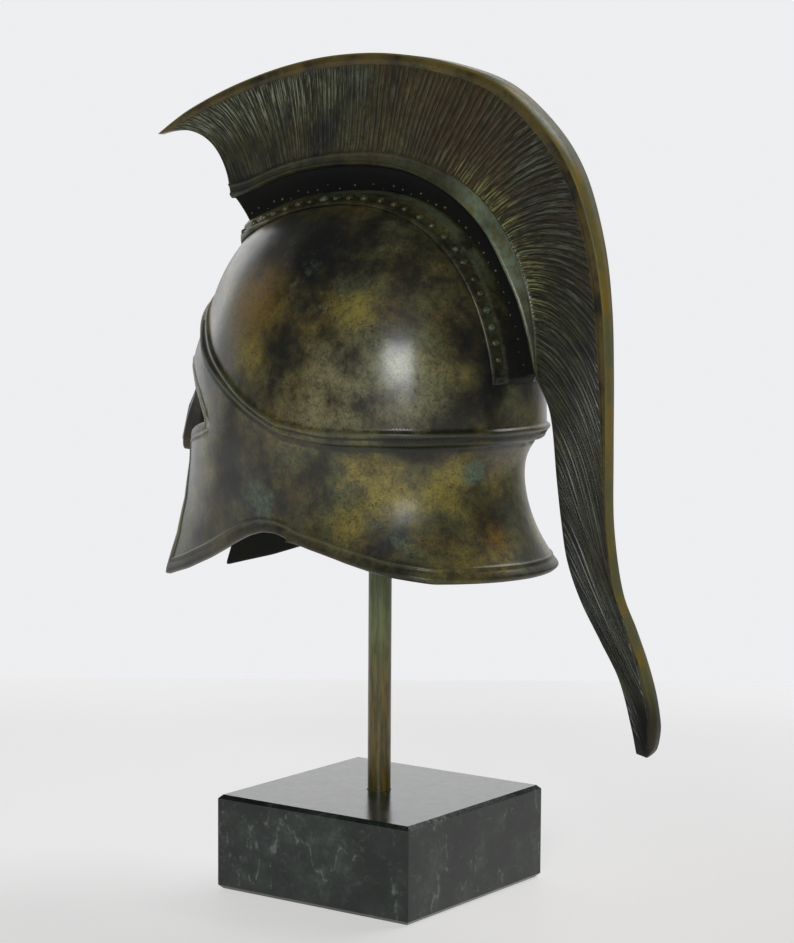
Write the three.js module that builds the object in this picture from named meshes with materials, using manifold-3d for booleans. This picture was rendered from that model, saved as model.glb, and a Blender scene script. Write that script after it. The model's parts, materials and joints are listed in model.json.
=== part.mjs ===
// Crested bronze helmet on a rod in a marble block
// Millimetres, +Z up, the helmet looks along -Y, origin at the centre of the block's underside

import * as THREE from 'three';
import { mergeVertices } from 'three/addons/utils/BufferGeometryUtils.js';
import Module from 'manifold-3d';

const wasm = await Module();
wasm.setup();

// Stand
const blockSide = 80;
const blockHeight = 32.7;
const blockBevel = 1.3;
const rodDiameter = 8;
const rodSides = 24;
const rodTopGap = 1.2; // under the inside of the crown
const rodSocketDepth = 12;
const rodForward = 1; // the rod stands this far ahead of the block's centre
const standHeight = 80; // from the block's top to the neck guard's edge
const fitGap = 0.3; // clearance between neighbouring pieces

// Skull of the helmet, measured from the moulding line upwards
const skullHalfWidth = 50.5;
const skullFront = 67.5;
const skullRear = 61.5;
const skullRise = 78;
const skullCentre = -6; // the widest section lies this far ahead of the rod
const wallThickness = 3;

// Face, cheek guards and neck guard
const neckDrop = 45.8; // from the moulding line down to the neck guard's edge
const cheekReach = 99.4;
const browRise = 44; // the moulding climbs this far to its peak on the forehead
const neckInset = 6.6;
const neckInsetDrop = 14;
const neckFlare = 12.8;
const neckWaist = 0.694; // height of the waist as a share of neckDrop
const mouldingBead = 1.3; // half the distance between the two ridges
const mouldingRelief = 1.2;
const nasalPush = 7.8;
const nasalHalfWidth = 5;
const nasalTopShare = 1.25; // the nasal's swell runs between these height shares
const nasalFootShare = 0.378;
const nasalCurve = 2.4;
const eyeReach = 33.2;

// Crest
const seatHalfWidth = 16.4;
const seatThickness = 2;
const seatFrontRise = 3.4;
const studDiameter = 1.9;
const studRelief = 0.8;
const studPitch = 5.8;
const studPlace = 0.74; // share of the seat's half width
const studSunk = 0.3; // share of the seat's height
const studTop = 0.7; // share of studDiameter
const studSides = 5;
const riserThickness = 5.6;
const crestStandOff = 10; // from the skull to the crest's lower border, at the crown
const crestLength = 208.4;
const crestRise = 125.5; // from the moulding line to the top of the crest
const tailDrop = 101.1; // from the moulding line to the tip of the tail
const crestThickness = 10;
const borderThickness = 9;
const borderHeight = 4;
const rimBevel = 3.2;
const hairRelief = 0.3;

// Facets
const shellColumns = 60;
const crestStations = 110;
const seatStations = 40;
const weldSize = 0.02; // slivers shorter than this are closed up after a cut

const ridgeLevel = blockHeight + standHeight + neckDrop;
const degrees = Math.PI / 180;

const clamp = (value, low, high) => Math.min(high, Math.max(low, value));
const mix = (a, b, share) => a + (b - a) * share;
const smooth = (value, low, high) => {
  const t = clamp((value - low) / (high - low), 0, 1);
  return t * t * (3 - 2 * t);
};

// Reads a table whose rows are sorted by their first column, with straight steps
function lookUp(rows, value) {
  const last = rows.length - 1;
  let i = 0;
  while (i < last - 1 && value > rows[i + 1][0]) i += 1;
  const share = clamp((value - rows[i][0]) / (rows[i + 1][0] - rows[i][0]), 0, 1);
  return rows[i].map((entry, k) => mix(entry, rows[i + 1][k], share));
}

// Heights are shares: 0 is the neck guard's edge, 1 the moulding line, 2 the crown
const heightAt = (share) => (share < 1 ? (share - 1) * neckDrop : (share - 1) * skullRise);
const shareAt = (height) => 1 + height / (height < 0 ? neckDrop : skullRise);

// Face sections: height share, half width, front reach, front power
// Widths are shares of skullHalfWidth, reaches of cheekReach
const faceRows = [
  [-0.24, 0.921, 1.015, 1.3],
  [0.12, 0.931, 0.905, 1.35],
  [0.4, 0.943, 0.831, 1.42],
  [0.68, 0.96, 0.778, 1.5],
  [0.92, 0.982, 0.75, 1.55],
  [1.1, 0.99, 0.74, 1.57],
  [1.25, 0.97, 0.738, 1.6],
  [1.33, 0.956, 0.708, 1.66],
  [1.4, 0.941, 0.678, 1.7],
  [1.51, 0.911, 0.652, 1.7],
  [1.6, 0.871, 0.623, 1.7],
];

// Lower edge: turn from the front in degrees, height share
const edgeRows = [
  [0, -0.24],
  [32, -0.215],
  [42, -0.125],
  [52, 0],
  [62, 0.145],
  [68, 0.22],
  [74, 0.265],
  [80, 0.268],
  [87, 0.235],
  [96, 0.175],
  [108, 0.11],
  [122, 0.05],
  [140, 0.01],
  [180, 0],
];

// Vertical profile of the skull: how much of its reach is left at a share of its rise
const taper = (share, power) => (1 - clamp(share, 0, 1) ** power) ** (1 / power);
const widthPower = 2.15;
const frontPower = 2.8;
const rearPower = 2.3;
const skullFrontSection = 1.7;
const rearSection = 2.3;

// One point of a plan section with its outward direction
function sectionPoint(turn, halfWidth, front, rear, power) {
  const s = Math.sin(turn);
  const c = Math.cos(turn);
  const reach = c > 0 ? front : rear;
  const n = c > 0 ? power : rearSection;
  const across = Math.abs(s) ** (2 / n);
  const along = Math.abs(c) ** (2 / n);
  const normal = new THREE.Vector2(
    Math.sign(s) * across ** (n - 1) / halfWidth,
    -Math.sign(c) * along ** (n - 1) / reach,
  ).normalize();
  const x = Math.sign(s) * across * halfWidth;
  const y = skullCentre - Math.sign(c) * along * reach;
  return { x, y, normal };
}

// The moulding runs level round the back and climbs to a peak on the forehead
const mouldingHeight = (turn) => browRise * Math.max(0, (Math.cos(turn) + 0.3) / 1.3) ** 2;

const turnInDegrees = (turn) => Math.abs(turn) / degrees;

const edgeHeight = (turn) => heightAt(lookUp(edgeRows, turnInDegrees(turn))[1]);

// Skull surface at a height above the moulding line
function skullPoint(turn, height) {
  const share = height / skullRise;
  const section = sectionPoint(
    turn,
    skullHalfWidth * taper(share, widthPower),
    skullFront * taper(share, frontPower),
    skullRear * taper(share, rearPower),
    skullFrontSection,
  );
  return new THREE.Vector3(section.x, section.y, height);
}

// The nasal swells forward from the brow and is keeled along its middle
function nasalSwell(x, height) {
  const top = heightAt(nasalTopShare);
  const foot = heightAt(nasalFootShare);
  const t = clamp((top - height) / (top - foot), 0, 1);
  const side = Math.abs(x) / nasalHalfWidth;
  const keel = side < 1 ? 1 - 0.5 * side ** 2 : clamp(0.5 - 0.625 * (side - 1), 0, 1);
  return nasalPush * Math.sin(Math.PI * t) ** nasalCurve * keel;
}

// The neck is drawn in and flared only from the cheeks backwards, by turn in degrees
const insetTurns = [55, 125];
const insetCurve = 2.4;
const flareTurns = [70, 140];
const flareCurve = 1.9;

// Face, cheeks and neck, at a height below the moulding at that turn
function facePoint(turn, height) {
  const [, width, reach, power] = lookUp(faceRows, shareAt(height));
  const section = sectionPoint(
    turn, width * skullHalfWidth, reach * cheekReach, skullRear, power,
  );
  const angle = turnInDegrees(turn);
  const below = clamp((mouldingHeight(turn) - height) / neckInsetDrop, 0, 1);
  const inset = neckInset * (1 - (1 - below) ** insetCurve) * smooth(angle, ...insetTurns);
  const fall = clamp((neckWaist - shareAt(height)) / neckWaist, 0, 1.1);
  const flare = neckFlare * fall ** flareCurve * smooth(angle, ...flareTurns);
  const push = flare - inset;
  const forward = Math.cos(turn) > 0 ? nasalSwell(section.x, height) : 0;
  return new THREE.Vector3(
    section.x + section.normal.x * push,
    section.y + section.normal.y * push - forward,
    height,
  );
}

// The two ridges of the moulding, by distance from its line
function ridgeRelief(distance) {
  const near = Math.abs(Math.abs(distance) - mouldingBead) / mouldingBead;
  return mouldingRelief * Math.max(0, 1 - near ** 2);
}

// A surface point for a turn and a row: -1 is the lower edge, 0 the moulding, 1 the crown
function shellPoint(turn, row) {
  const line = mouldingHeight(turn);
  if (row < 0) return facePoint(turn, mix(line, edgeHeight(turn), -row));
  const height = mix(line, skullRise, Math.sin(row * Math.PI / 2));
  return skullPoint(turn, height);
}

// The crown closes in one point, all other rows are rings of columns, closer in front
const columnEase = 1.3;
const shellTurns = Array.from({ length: shellColumns }, (_, i) => {
  const half = shellColumns / 2;
  const k = i <= half ? i : i - shellColumns;
  return Math.sign(k) * Math.PI * (Math.abs(k) / half) ** columnEase;
});

const rowStep = 0.01;
const highestRow = 0.995;
const ridgeRow = 0.04; // the moulding takes its direction from just beside its line

function shellNormal(turn, row) {
  const east = shellPoint(turn + rowStep, row).sub(shellPoint(turn - rowStep, row));
  const low = shellPoint(turn, Math.max(-1, row - rowStep));
  const high = shellPoint(turn, Math.min(highestRow, row + rowStep));
  return east.cross(high.sub(low)).normalize();
}

const outerRing = (row) => shellTurns.map((turn) => shellPoint(turn, row));

// Rows of the moulding, set by their distance from its line
const mouldingRing = (offset) => shellTurns.map((turn) => {
  const height = mouldingHeight(turn) + offset;
  const base = offset > 0 ? skullPoint(turn, height) : facePoint(turn, height);
  const normal = shellNormal(turn, Math.sign(offset) * ridgeRow);
  return base.addScaledVector(normal, ridgeRelief(offset));
});

const innerRing = (row) => shellTurns.map((turn) => {
  const normal = shellNormal(turn, row);
  return shellPoint(turn, row).addScaledVector(normal, -wallThickness);
});

// Builds a closed geometry from a loop of rings, with optional end points
function ringSolid(rings, startPoint, endPoint) {
  const count = rings[0].length;
  const points = rings.flat();
  const faces = [];
  for (let r = 0; r < rings.length - 1; r += 1) {
    for (let i = 0; i < count; i += 1) {
      const j = (i + 1) % count;
      const [a, b] = [r * count + i, r * count + j];
      faces.push([a, b, b + count], [a, b + count, a + count]);
    }
  }
  const cap = (point, first, flip) => {
    points.push(point);
    const tip = points.length - 1;
    for (let i = 0; i < count; i += 1) {
      const j = (i + 1) % count;
      faces.push(flip ? [first + j, first + i, tip] : [first + i, first + j, tip]);
    }
  };
  cap(endPoint, (rings.length - 1) * count, false);
  cap(startPoint, 0, true);
  return indexedGeometry(points, faces);
}

function indexedGeometry(points, faces) {
  const geometry = new THREE.BufferGeometry();
  const coordinates = points.flatMap((p) => [p.x, p.y, p.z]);
  geometry.setAttribute('position', new THREE.Float32BufferAttribute(coordinates, 3));
  geometry.setIndex(faces.flat());
  return geometry;
}

// Manifold solids, for joins and cuts
function toSolid(geometry) {
  const bare = geometry.clone();
  bare.deleteAttribute('normal');
  bare.deleteAttribute('uv');
  const merged = mergeVertices(bare, 1e-4);
  return new wasm.Manifold(new wasm.Mesh({
    numProp: 3,
    vertProperties: merged.attributes.position.array,
    triVerts: new Uint32Array(merged.index.array),
  }));
}

function toGeometry(solid) {
  const mesh = solid.asOriginal().simplify(weldSize).getMesh();
  const geometry = new THREE.BufferGeometry();
  const positions = new Float32Array(mesh.vertProperties);
  geometry.setAttribute('position', new THREE.BufferAttribute(positions, 3));
  geometry.setIndex(new THREE.BufferAttribute(new Uint32Array(mesh.triVerts), 1));
  return geometry;
}

// Front opening, right half: across as a share of eyeReach, height share
// The cut starts this far ahead of the widest section, as a share of skullFront
const openingStart = 0.44;
const slitFoot = [[0.56, -0.7], [0.53, -0.2], [0.5, 0.92]];
const eyeCorner = [1, 1.017];
const browCurve = [
  [0.88, 1.094], [0.75, 1.147], [0.66, 1.195], [0.54, 1.226], [0.39, 1.228], [0.27, 1.2],
];
const nasalEdge = [[0.185, 1.13], [0.15, 1.02], [0.13, 0.86], [0.1, 0.75], [0.04, 0.715]];

// The eyes, the slit between the cheek guards and the edge of the nasal are one cut
function frontOpening() {
  const half = [...slitFoot, eyeCorner, ...browCurve, ...nasalEdge];
  const outline = half.map(([across, share]) => new THREE.Vector2(across * eyeReach, heightAt(share)));
  const mirrored = outline.slice().reverse().map((p) => new THREE.Vector2(-p.x, p.y));
  const shape = new THREE.Shape([...outline, ...mirrored]);
  const depth = cheekReach + nasalPush;
  const cutter = new THREE.ExtrudeGeometry(shape, { depth, bevelEnabled: false });
  cutter.rotateX(Math.PI / 2);
  cutter.translate(0, skullCentre - skullFront * openingStart, 0);
  return cutter;
}

function helmetShell() {
  const lowerRows = [-1, -0.97, -0.86, -0.74, -0.62, -0.5, -0.38, -0.26, -0.16];
  const beadRows = [-2, -1, 0, 1, 2];
  const upperRows = [0.09, 0.17, 0.26, 0.35, 0.45, 0.55, 0.66, 0.77, 0.88];
  const innerRows = [0.9, 0.75, 0.6, 0.45, 0.3, 0.15, 0, -0.12, -0.3, -0.5, -0.7, -0.86, -1];
  const rings = [
    ...innerRows.map(innerRing),
    ...lowerRows.map(outerRing),
    ...beadRows.map((share) => mouldingRing(share * mouldingBead)),
    ...upperRows.map(outerRing),
  ];
  const crown = new THREE.Vector3(0, skullCentre, skullRise);
  const ceiling = new THREE.Vector3(0, skullCentre, skullRise - wallThickness);
  const body = toSolid(ringSolid(rings, ceiling, crown));
  return toGeometry(body.subtract(toSolid(frontOpening())));
}

// Centre line of the skull: 0 is the moulding in front, 90 the crown, 180 the moulding behind
function ridgePoint(angle) {
  const c = Math.cos(angle * degrees);
  const s = Math.sin(angle * degrees);
  const power = c > 0 ? frontPower : rearPower;
  const reach = c > 0 ? -skullFront : skullRear;
  return new THREE.Vector2(
    skullCentre + reach * Math.abs(c) ** (2 / power),
    skullRise * s ** (2 / power),
  );
}

const turnStep = 0.5;

function ridgeNormal(angle) {
  const along = ridgePoint(angle + turnStep).sub(ridgePoint(angle - turnStep)).normalize();
  return new THREE.Vector2(-along.y, along.x);
}

// How far the skull falls away from its centre line at a distance to the side
function sideFall(angle, x) {
  const start = ridgePoint(angle);
  const normal = ridgeNormal(angle);
  const outside = (depth) => {
    const y = start.x - normal.x * depth;
    const z = start.y - normal.y * depth;
    const share = z / skullRise;
    const front = y < skullCentre;
    const reach = front ? skullFront * taper(share, frontPower) : skullRear * taper(share, rearPower);
    const n = front ? skullFrontSection : rearSection;
    const width = skullHalfWidth * taper(share, widthPower);
    if (share >= 1 || width < 1e-6) return true;
    return Math.abs(x / width) ** n + Math.abs((y - skullCentre) / reach) ** n > 1;
  };
  let [low, high] = [0, skullHalfWidth / 2];
  for (let i = 0; i < 24; i += 1) {
    const middle = (low + high) / 2;
    if (outside(middle)) low = middle;
    else high = middle;
  }
  return high;
}

// A point over the skull: angle along the ridge, distance to the side, height off the surface
function overSkull(angle, x, height) {
  const start = ridgePoint(angle);
  const normal = ridgeNormal(angle);
  const out = height - sideFall(angle, x);
  return new THREE.Vector3(x, start.x + normal.x * out, start.y + normal.y * out);
}

// The strip starts on the forehead with an upright end, and stops at the nape
const startTurn = 47.5;
const endTurn = 170;
const leanTurn = 4;
const leanRun = 8;
const rampRun = 20;

// The strip is thicker over the forehead, where the crest stands higher
function seatHeight(angle) {
  return seatThickness + seatFrontRise * (1 - smooth(angle, startTurn, startTurn + rampRun));
}

// Turns sections of one shape into a closed strip with flat ends
function stripSolid(sections) {
  const middle = (ring) => ring.reduce((sum, p) => sum.add(p), new THREE.Vector3())
    .divideScalar(ring.length);
  return ringSolid(sections, middle(sections[0]), middle(sections[sections.length - 1]));
}

// Half width along the strip: turn, share of seatHalfWidth
const seatWidths = [[47.5, 0.5], [56, 0.76], [68, 0.97], [110, 1], [140, 0.92], [170, 0.86]];
const seatHalf = (angle) => lookUp(seatWidths, angle)[1] * seatHalfWidth;

// Seat section: distance to the side and height over the skull, as shares
const seatSection = [
  [-1, 0.35], [-0.95, 0.7], [-0.9, 0.45], [-0.6, 0.55], [-0.52, 0.9], [-0.3, 1],
  [0.3, 1], [0.52, 0.9], [0.6, 0.55], [0.9, 0.45], [0.95, 0.7], [1, 0.35],
];
const seatFoot = [1, 0.75, 0.5, 0.25, 0, -0.25, -0.5, -0.75, -1];

function seatRing(angle) {
  const lean = leanTurn * (1 - smooth(angle, startTurn, startTurn + leanRun));
  const half = seatHalf(angle);
  const top = seatSection.map(([side, share]) => (
    overSkull(angle + lean * share, side * half, fitGap + share * seatHeight(angle))
  ));
  const foot = seatFoot.map((side) => overSkull(angle, side * half, fitGap));
  return [...foot, ...top];
}

// Length along the ridge, so that the studs keep their pitch
function ridgeLength(from, to) {
  const steps = 60;
  let length = 0;
  for (let i = 0; i < steps; i += 1) {
    const a = ridgePoint(mix(from, to, i / steps));
    const b = ridgePoint(mix(from, to, (i + 1) / steps));
    length += a.distanceTo(b);
  }
  return length;
}

function angleAtLength(length) {
  let [low, high] = [startTurn, endTurn];
  for (let i = 0; i < 20; i += 1) {
    const middle = (low + high) / 2;
    if (ridgeLength(startTurn, middle) < length) low = middle;
    else high = middle;
  }
  return low;
}

// A low round-topped stud, set into the channel of the seat
function stud(angle, side) {
  const radius = studDiameter / 2;
  const x = side * seatHalf(angle) * studPlace;
  const sunk = seatHeight(angle) * studSunk;
  const base = overSkull(angle, x, fitGap + sunk);
  const inner = overSkull(angle, x - side * radius, fitGap);
  const outer = overSkull(angle, x + side * radius, fitGap);
  const slope = outer.sub(inner).multiplyScalar(side).normalize();
  const ahead = overSkull(angle + turnStep, x, fitGap);
  const along = ahead.sub(overSkull(angle - turnStep, x, fitGap)).normalize();
  const up = slope.clone().cross(along).normalize();
  const height = sunk + studRelief;
  const profile = [[0, 0], [radius, 0], [radius * studTop, height], [0, height]];
  const outline = profile.map(([r, h]) => new THREE.Vector2(r, h));
  const geometry = new THREE.LatheGeometry(outline, studSides);
  const frame = new THREE.Matrix4().makeBasis(slope, up, along.negate());
  geometry.applyMatrix4(frame);
  geometry.translate(base.x, base.y, base.z);
  return geometry;
}

function crestSeat() {
  const angles = Array.from({ length: seatStations }, (_, i) => (
    mix(startTurn, endTurn, i / (seatStations - 1))
  ));
  let solid = toSolid(stripSolid(angles.map(seatRing)));
  const length = ridgeLength(startTurn, endTurn);
  const count = Math.floor((length - studPitch) / studPitch);
  const margin = (length - (count - 1) * studPitch) / 2;
  for (let i = 0; i < count; i += 1) {
    const angle = angleAtLength(margin + i * studPitch);
    for (const side of [-1, 1]) solid = solid.add(toSolid(stud(angle, side)));
  }
  return toGeometry(solid);
}

// Crest over the skull: turn of the lower border, its stand-off, then the rim's place,
// the thickness of rim and border, and how far the hair line bows
// Shares of crestStandOff, crestLength, crestRise, crestThickness, borderThickness
const mountedRows = [
  [51.5, 1.6, -0.479, 0.802, 0.32, 0.8, 0.26],
  [57.5, 1.265, -0.403, 0.867, 0.66, 0.95, 0.14],
  [66.2, 1.115, -0.302, 0.929, 0.86, 1, 0.06],
  [74.5, 1.065, -0.192, 0.976, 0.97, 1, 0.03],
  [84.5, 1.05, -0.086, 1, 1, 1, 0.01],
  [92.5, 1.015, 0.024, 0.999, 1, 1, 0],
  [102.7, 0.94, 0.134, 0.968, 1, 1, 0],
  [114.2, 0.86, 0.235, 0.908, 1, 1, 0],
  [124, 0.82, 0.318, 0.795, 0.99, 0.98, 0],
  [133, 0.76, 0.37, 0.673, 0.9, 0.94, -0.01],
  [142.7, 0.66, 0.405, 0.508, 0.74, 0.86, -0.03],
  [151.2, 0.66, 0.422, 0.347, 0.6, 0.76, -0.05],
  [159.7, 0.66, 0.428, 0.179, 0.53, 0.66, -0.07],
  [168, 0.74, 0.43, -0.035, 0.5, 0.55, -0.08],
];

// Tail: inner edge and rim as shares of crestLength and tailDrop, then thicknesses and bow
const tailRows = [
  [0.326, 0.062, 0.433, -0.272, 0.48, 0.5, -0.07],
  [0.34, -0.136, 0.449, -0.478, 0.54, 0.52, -0.05],
  [0.349, -0.263, 0.475, -0.601, 0.58, 0.54, -0.03],
  [0.361, -0.391, 0.495, -0.697, 0.58, 0.54, -0.01],
  [0.386, -0.515, 0.51, -0.786, 0.55, 0.52, 0],
  [0.422, -0.637, 0.518, -0.856, 0.52, 0.5, 0],
  [0.457, -0.758, 0.521, -0.911, 0.5, 0.48, 0],
  [0.481, -0.9, 0.516, -0.972, 0.46, 0.44, 0],
  [0.489, -0.978, 0.505, -1, 0.36, 0.34, 0],
];

// Centre line points of the crest, border and rim side by side
function crestControls() {
  const levelled = (share) => (share > 0 ? share * crestRise : share * tailDrop);
  const mounted = mountedRows.map(([turn, off, y, z, rim, border, bow]) => {
    const foot = ridgePoint(turn).addScaledVector(ridgeNormal(turn), off * crestStandOff);
    return { foot, rim: new THREE.Vector2(y * crestLength, levelled(z)), sizes: [rim, border, bow] };
  });
  const tail = tailRows.map(([y, z, rimY, rimZ, rim, border, bow]) => ({
    foot: new THREE.Vector2(y * crestLength, levelled(z)),
    rim: new THREE.Vector2(rimY * crestLength, levelled(rimZ)),
    sizes: [rim, border, bow],
  }));
  return [...mounted, ...tail];
}

const controls = crestControls();
const footCurve = new THREE.SplineCurve(controls.map((row) => row.foot));
const rimCurve = new THREE.SplineCurve(controls.map((row) => row.rim));
const borderEnd = (mountedRows.length - 0.5) / (controls.length - 1);

function crestSizes(u) {
  const place = u * (controls.length - 1);
  const i = Math.min(Math.floor(place), controls.length - 2);
  return controls[i].sizes.map((size, k) => mix(size, controls[i + 1].sizes[k], place - i));
}

// A point in the crest's middle plane: distance from the border towards the rim
function crestPoint(u, distance) {
  const foot = footCurve.getPoint(u);
  const rim = rimCurve.getPoint(u);
  const line = rim.clone().sub(foot);
  const length = line.length();
  const q = distance / length;
  const bow = crestSizes(u)[2] * length * 4 * q * (1 - q);
  const across = new THREE.Vector2(line.y, -line.x).divideScalar(length);
  return foot.addScaledVector(line, q).addScaledVector(across, bow);
}

// Thickness shares of the crest's section
const borderFoot = 0.72;
const hairFoot = 0.78;
const hairTop = 0.84;
const rimUnder = 0.88;
const rimEdge = 0.86;
const proudRun = 0.08; // the border sinks into the hair over this share of the curve
const narrowest = 0.2; // no band is wider than this share of the section

// One closed section of the crest: both sides from the border up to the rim
function crestRing(u, index) {
  const length = rimCurve.getPoint(u).distanceTo(footCurve.getPoint(u));
  const [rimShare, borderShare] = crestSizes(u);
  const rim = rimShare * crestThickness / 2;
  const border = borderShare * borderThickness / 2;
  const edge = Math.min(rimBevel, length * narrowest);
  const band = Math.min(borderHeight, length * narrowest);
  const ripple = (index % 2 ? 1 : -1) * hairRelief;
  const proud = smooth(u, borderEnd, borderEnd - proudRun);
  const hair = mix(Math.min(border, rim), border * hairFoot, proud);
  const bead = mix(hair, border, proud);
  const side = [
    [0, border * borderFoot],
    [band * 0.3, bead],
    [band * 0.8, bead],
    [band, hair],
    [length * 0.35, mix(hair, rim * hairTop, 0.4) + ripple],
    [length * 0.65, mix(hair, rim * hairTop, 0.75) + ripple],
    [length - edge, rim * rimUnder],
    [length - edge * 0.15, rim],
    [length, rim * rimEdge],
  ];
  const place = ([distance, half]) => {
    const point = crestPoint(u, distance);
    return new THREE.Vector3(half, point.x, point.y);
  };
  const left = side.map(place);
  const right = side.map(([d, half]) => place([d, -half])).reverse();
  return [...left, ...right];
}

function crestPlume() {
  const sections = Array.from({ length: crestStations }, (_, i) => (
    crestRing(i / (crestStations - 1), i)
  ));
  return stripSolid(sections.reverse());
}

const riserStart = mountedRows[0][0] + 1;
const riserEnd = endTurn - 5;
const riserTaperRun = 70;
const riserEndWidth = 0.62; // share of riserThickness
const riserWaist = 0.8;

// Riser between the seat and the crest's border, as high as the crest stands off
function riserRing(angle) {
  const standOff = lookUp(mountedRows, angle)[1] * crestStandOff;
  const narrowing = smooth(angle, riserStart + riserTaperRun, riserEnd);
  const half = riserThickness / 2 * mix(1, riserEndWidth, narrowing);
  const waist = half * riserWaist;
  const foot = seatHeight(angle) + 2 * fitGap;
  const top = standOff - fitGap * 2;
  const level = (share) => mix(foot, top, share);
  const start = ridgePoint(angle);
  const normal = ridgeNormal(angle);
  return [
    [half, 0], [waist, 0.3], [waist, 0.75], [half, 1],
    [-half, 1], [-waist, 0.75], [-waist, 0.3], [-half, 0],
  ].map(([x, share]) => new THREE.Vector3(
    x,
    start.x + normal.x * level(share),
    start.y + normal.y * level(share),
  ));
}

function crestRiser() {
  const angles = Array.from({ length: seatStations }, (_, i) => (
    mix(riserStart, riserEnd, i / (seatStations - 1))
  ));
  return stripSolid(angles.map(riserRing).reverse());
}

// Marble block with bevelled edges and a blind hole for the rod
function marbleBlock() {
  const inner = blockSide / 2 - blockBevel;
  const outline = new THREE.Shape([
    new THREE.Vector2(-inner, -inner), new THREE.Vector2(inner, -inner),
    new THREE.Vector2(inner, inner), new THREE.Vector2(-inner, inner),
  ]);
  const block = new THREE.ExtrudeGeometry(outline, {
    depth: blockHeight - 2 * blockBevel,
    bevelThickness: blockBevel,
    bevelSize: blockBevel,
    bevelSegments: 1,
  });
  block.translate(0, 0, blockBevel);
  const radius = rodDiameter / 2 + fitGap;
  const hole = new THREE.CylinderGeometry(radius, radius, rodSocketDepth * 2, rodSides);
  hole.rotateX(Math.PI / 2);
  hole.translate(0, -rodForward, blockHeight);
  return toGeometry(toSolid(block).subtract(toSolid(hole)));
}

// The rod reaches from the block's socket to just under the inside of the crown
function supportRod() {
  const foot = blockHeight - rodSocketDepth + fitGap;
  const top = ridgeLevel + skullRise - wallThickness - rodTopGap;
  const radius = rodDiameter / 2;
  const rod = new THREE.CylinderGeometry(radius, radius, top - foot, rodSides);
  rod.rotateX(Math.PI / 2);
  rod.translate(0, -rodForward, (foot + top) / 2);
  return rod;
}

const finishes = {
  bronze: { color: 0x3d3a20, roughness: 0.42, metalness: 0.7 },
  darkBronze: { color: 0x1c1c16, roughness: 0.5, metalness: 0.6 },
  greenBronze: { color: 0x5a6236, roughness: 0.45, metalness: 0.6 },
  marble: { color: 0x2b352f, roughness: 0.2, metalness: 0 },
};

function piece(name, geometry, finish) {
  const mesh = new THREE.Mesh(geometry, new THREE.MeshStandardMaterial(finishes[finish]));
  mesh.name = name;
  return mesh;
}

const stand = new THREE.Group();
stand.add(piece('marble_base', marbleBlock(), 'marble'));
stand.add(piece('support_rod', supportRod(), 'greenBronze'));

const helmet = new THREE.Group();
helmet.position.z = ridgeLevel;
helmet.add(piece('helmet_shell', helmetShell(), 'bronze'));
helmet.add(piece('crest_seat', crestSeat(), 'bronze'));
helmet.add(piece('crest_riser', crestRiser(), 'darkBronze'));
helmet.add(piece('crest_plume', crestPlume(), 'bronze'));

const assembly = new THREE.Group();
assembly.add(stand, helmet);

export default assembly;
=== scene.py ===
# Crested bronze helmet on a rod in a marble block
# Lengths are in millimetres until a mesh is made, the helmet looks along -Y

import json
import math

import bpy
import numpy as np
from mathutils import Matrix, Vector, kdtree
from mathutils.geometry import delaunay_2d_cdt

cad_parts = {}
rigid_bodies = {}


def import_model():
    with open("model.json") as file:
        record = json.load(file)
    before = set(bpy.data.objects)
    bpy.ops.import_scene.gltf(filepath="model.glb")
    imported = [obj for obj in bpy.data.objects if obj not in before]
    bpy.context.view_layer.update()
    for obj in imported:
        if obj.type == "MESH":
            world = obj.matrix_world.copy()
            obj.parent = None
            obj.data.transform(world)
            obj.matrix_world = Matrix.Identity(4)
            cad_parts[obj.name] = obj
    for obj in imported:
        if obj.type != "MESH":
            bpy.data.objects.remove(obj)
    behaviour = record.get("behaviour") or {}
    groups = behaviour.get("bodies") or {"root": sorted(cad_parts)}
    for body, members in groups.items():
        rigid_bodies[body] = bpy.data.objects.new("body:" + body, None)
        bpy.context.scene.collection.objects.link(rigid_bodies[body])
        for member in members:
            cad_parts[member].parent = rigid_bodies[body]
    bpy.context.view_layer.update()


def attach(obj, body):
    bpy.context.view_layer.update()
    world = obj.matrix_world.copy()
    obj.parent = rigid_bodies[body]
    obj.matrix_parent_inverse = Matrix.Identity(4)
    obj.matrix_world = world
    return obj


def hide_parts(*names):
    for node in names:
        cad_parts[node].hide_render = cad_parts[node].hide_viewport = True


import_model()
chance = np.random.default_rng(7)


# Helpers for shapes

def smooth(value, low, high):
    t = np.clip((value - low) / (high - low), 0.0, 1.0)
    return t * t * (3 - 2 * t)


def mix(a, b, share):
    return a + (b - a) * share


def bump(value, centre, halfWidth):
    t = np.clip(np.abs(value - centre) / halfWidth, 0.0, 1.0)
    return (1 - t * t) ** 2


def unit(vectors):
    return vectors / np.maximum(np.linalg.norm(vectors, axis=-1, keepdims=True), 1e-12)


# A slow wave over two coordinates, between about -1 and 1
wave = {"count": 5, "slowest": 0.6, "fastest": 1.9, "divisor": 2.6}


def wander(x, y, seed):
    source = np.random.default_rng(seed)
    total = np.zeros(np.broadcast(x, y).shape)
    for _ in range(wave["count"]):
        angle = source.uniform(0, 2 * math.pi)
        pace = source.uniform(wave["slowest"], wave["fastest"])
        start = source.uniform(0, 2 * math.pi)
        total += np.sin(pace * (x * math.cos(angle) + y * math.sin(angle)) + start)
    return total / wave["divisor"]


def stepLengths(points):
    return np.linalg.norm(np.diff(points, axis=0), axis=1)


# Length along a path up to each of its points
def lengthSoFar(points):
    return np.concatenate([[0], np.cumsum(stepLengths(points))])


def alongPath(points, spacing):
    length = lengthSoFar(points)
    places = np.arange(0, length[-1], spacing)
    return np.stack([np.interp(places, length, points[:, k]) for k in range(points.shape[1])], 1)


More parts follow.
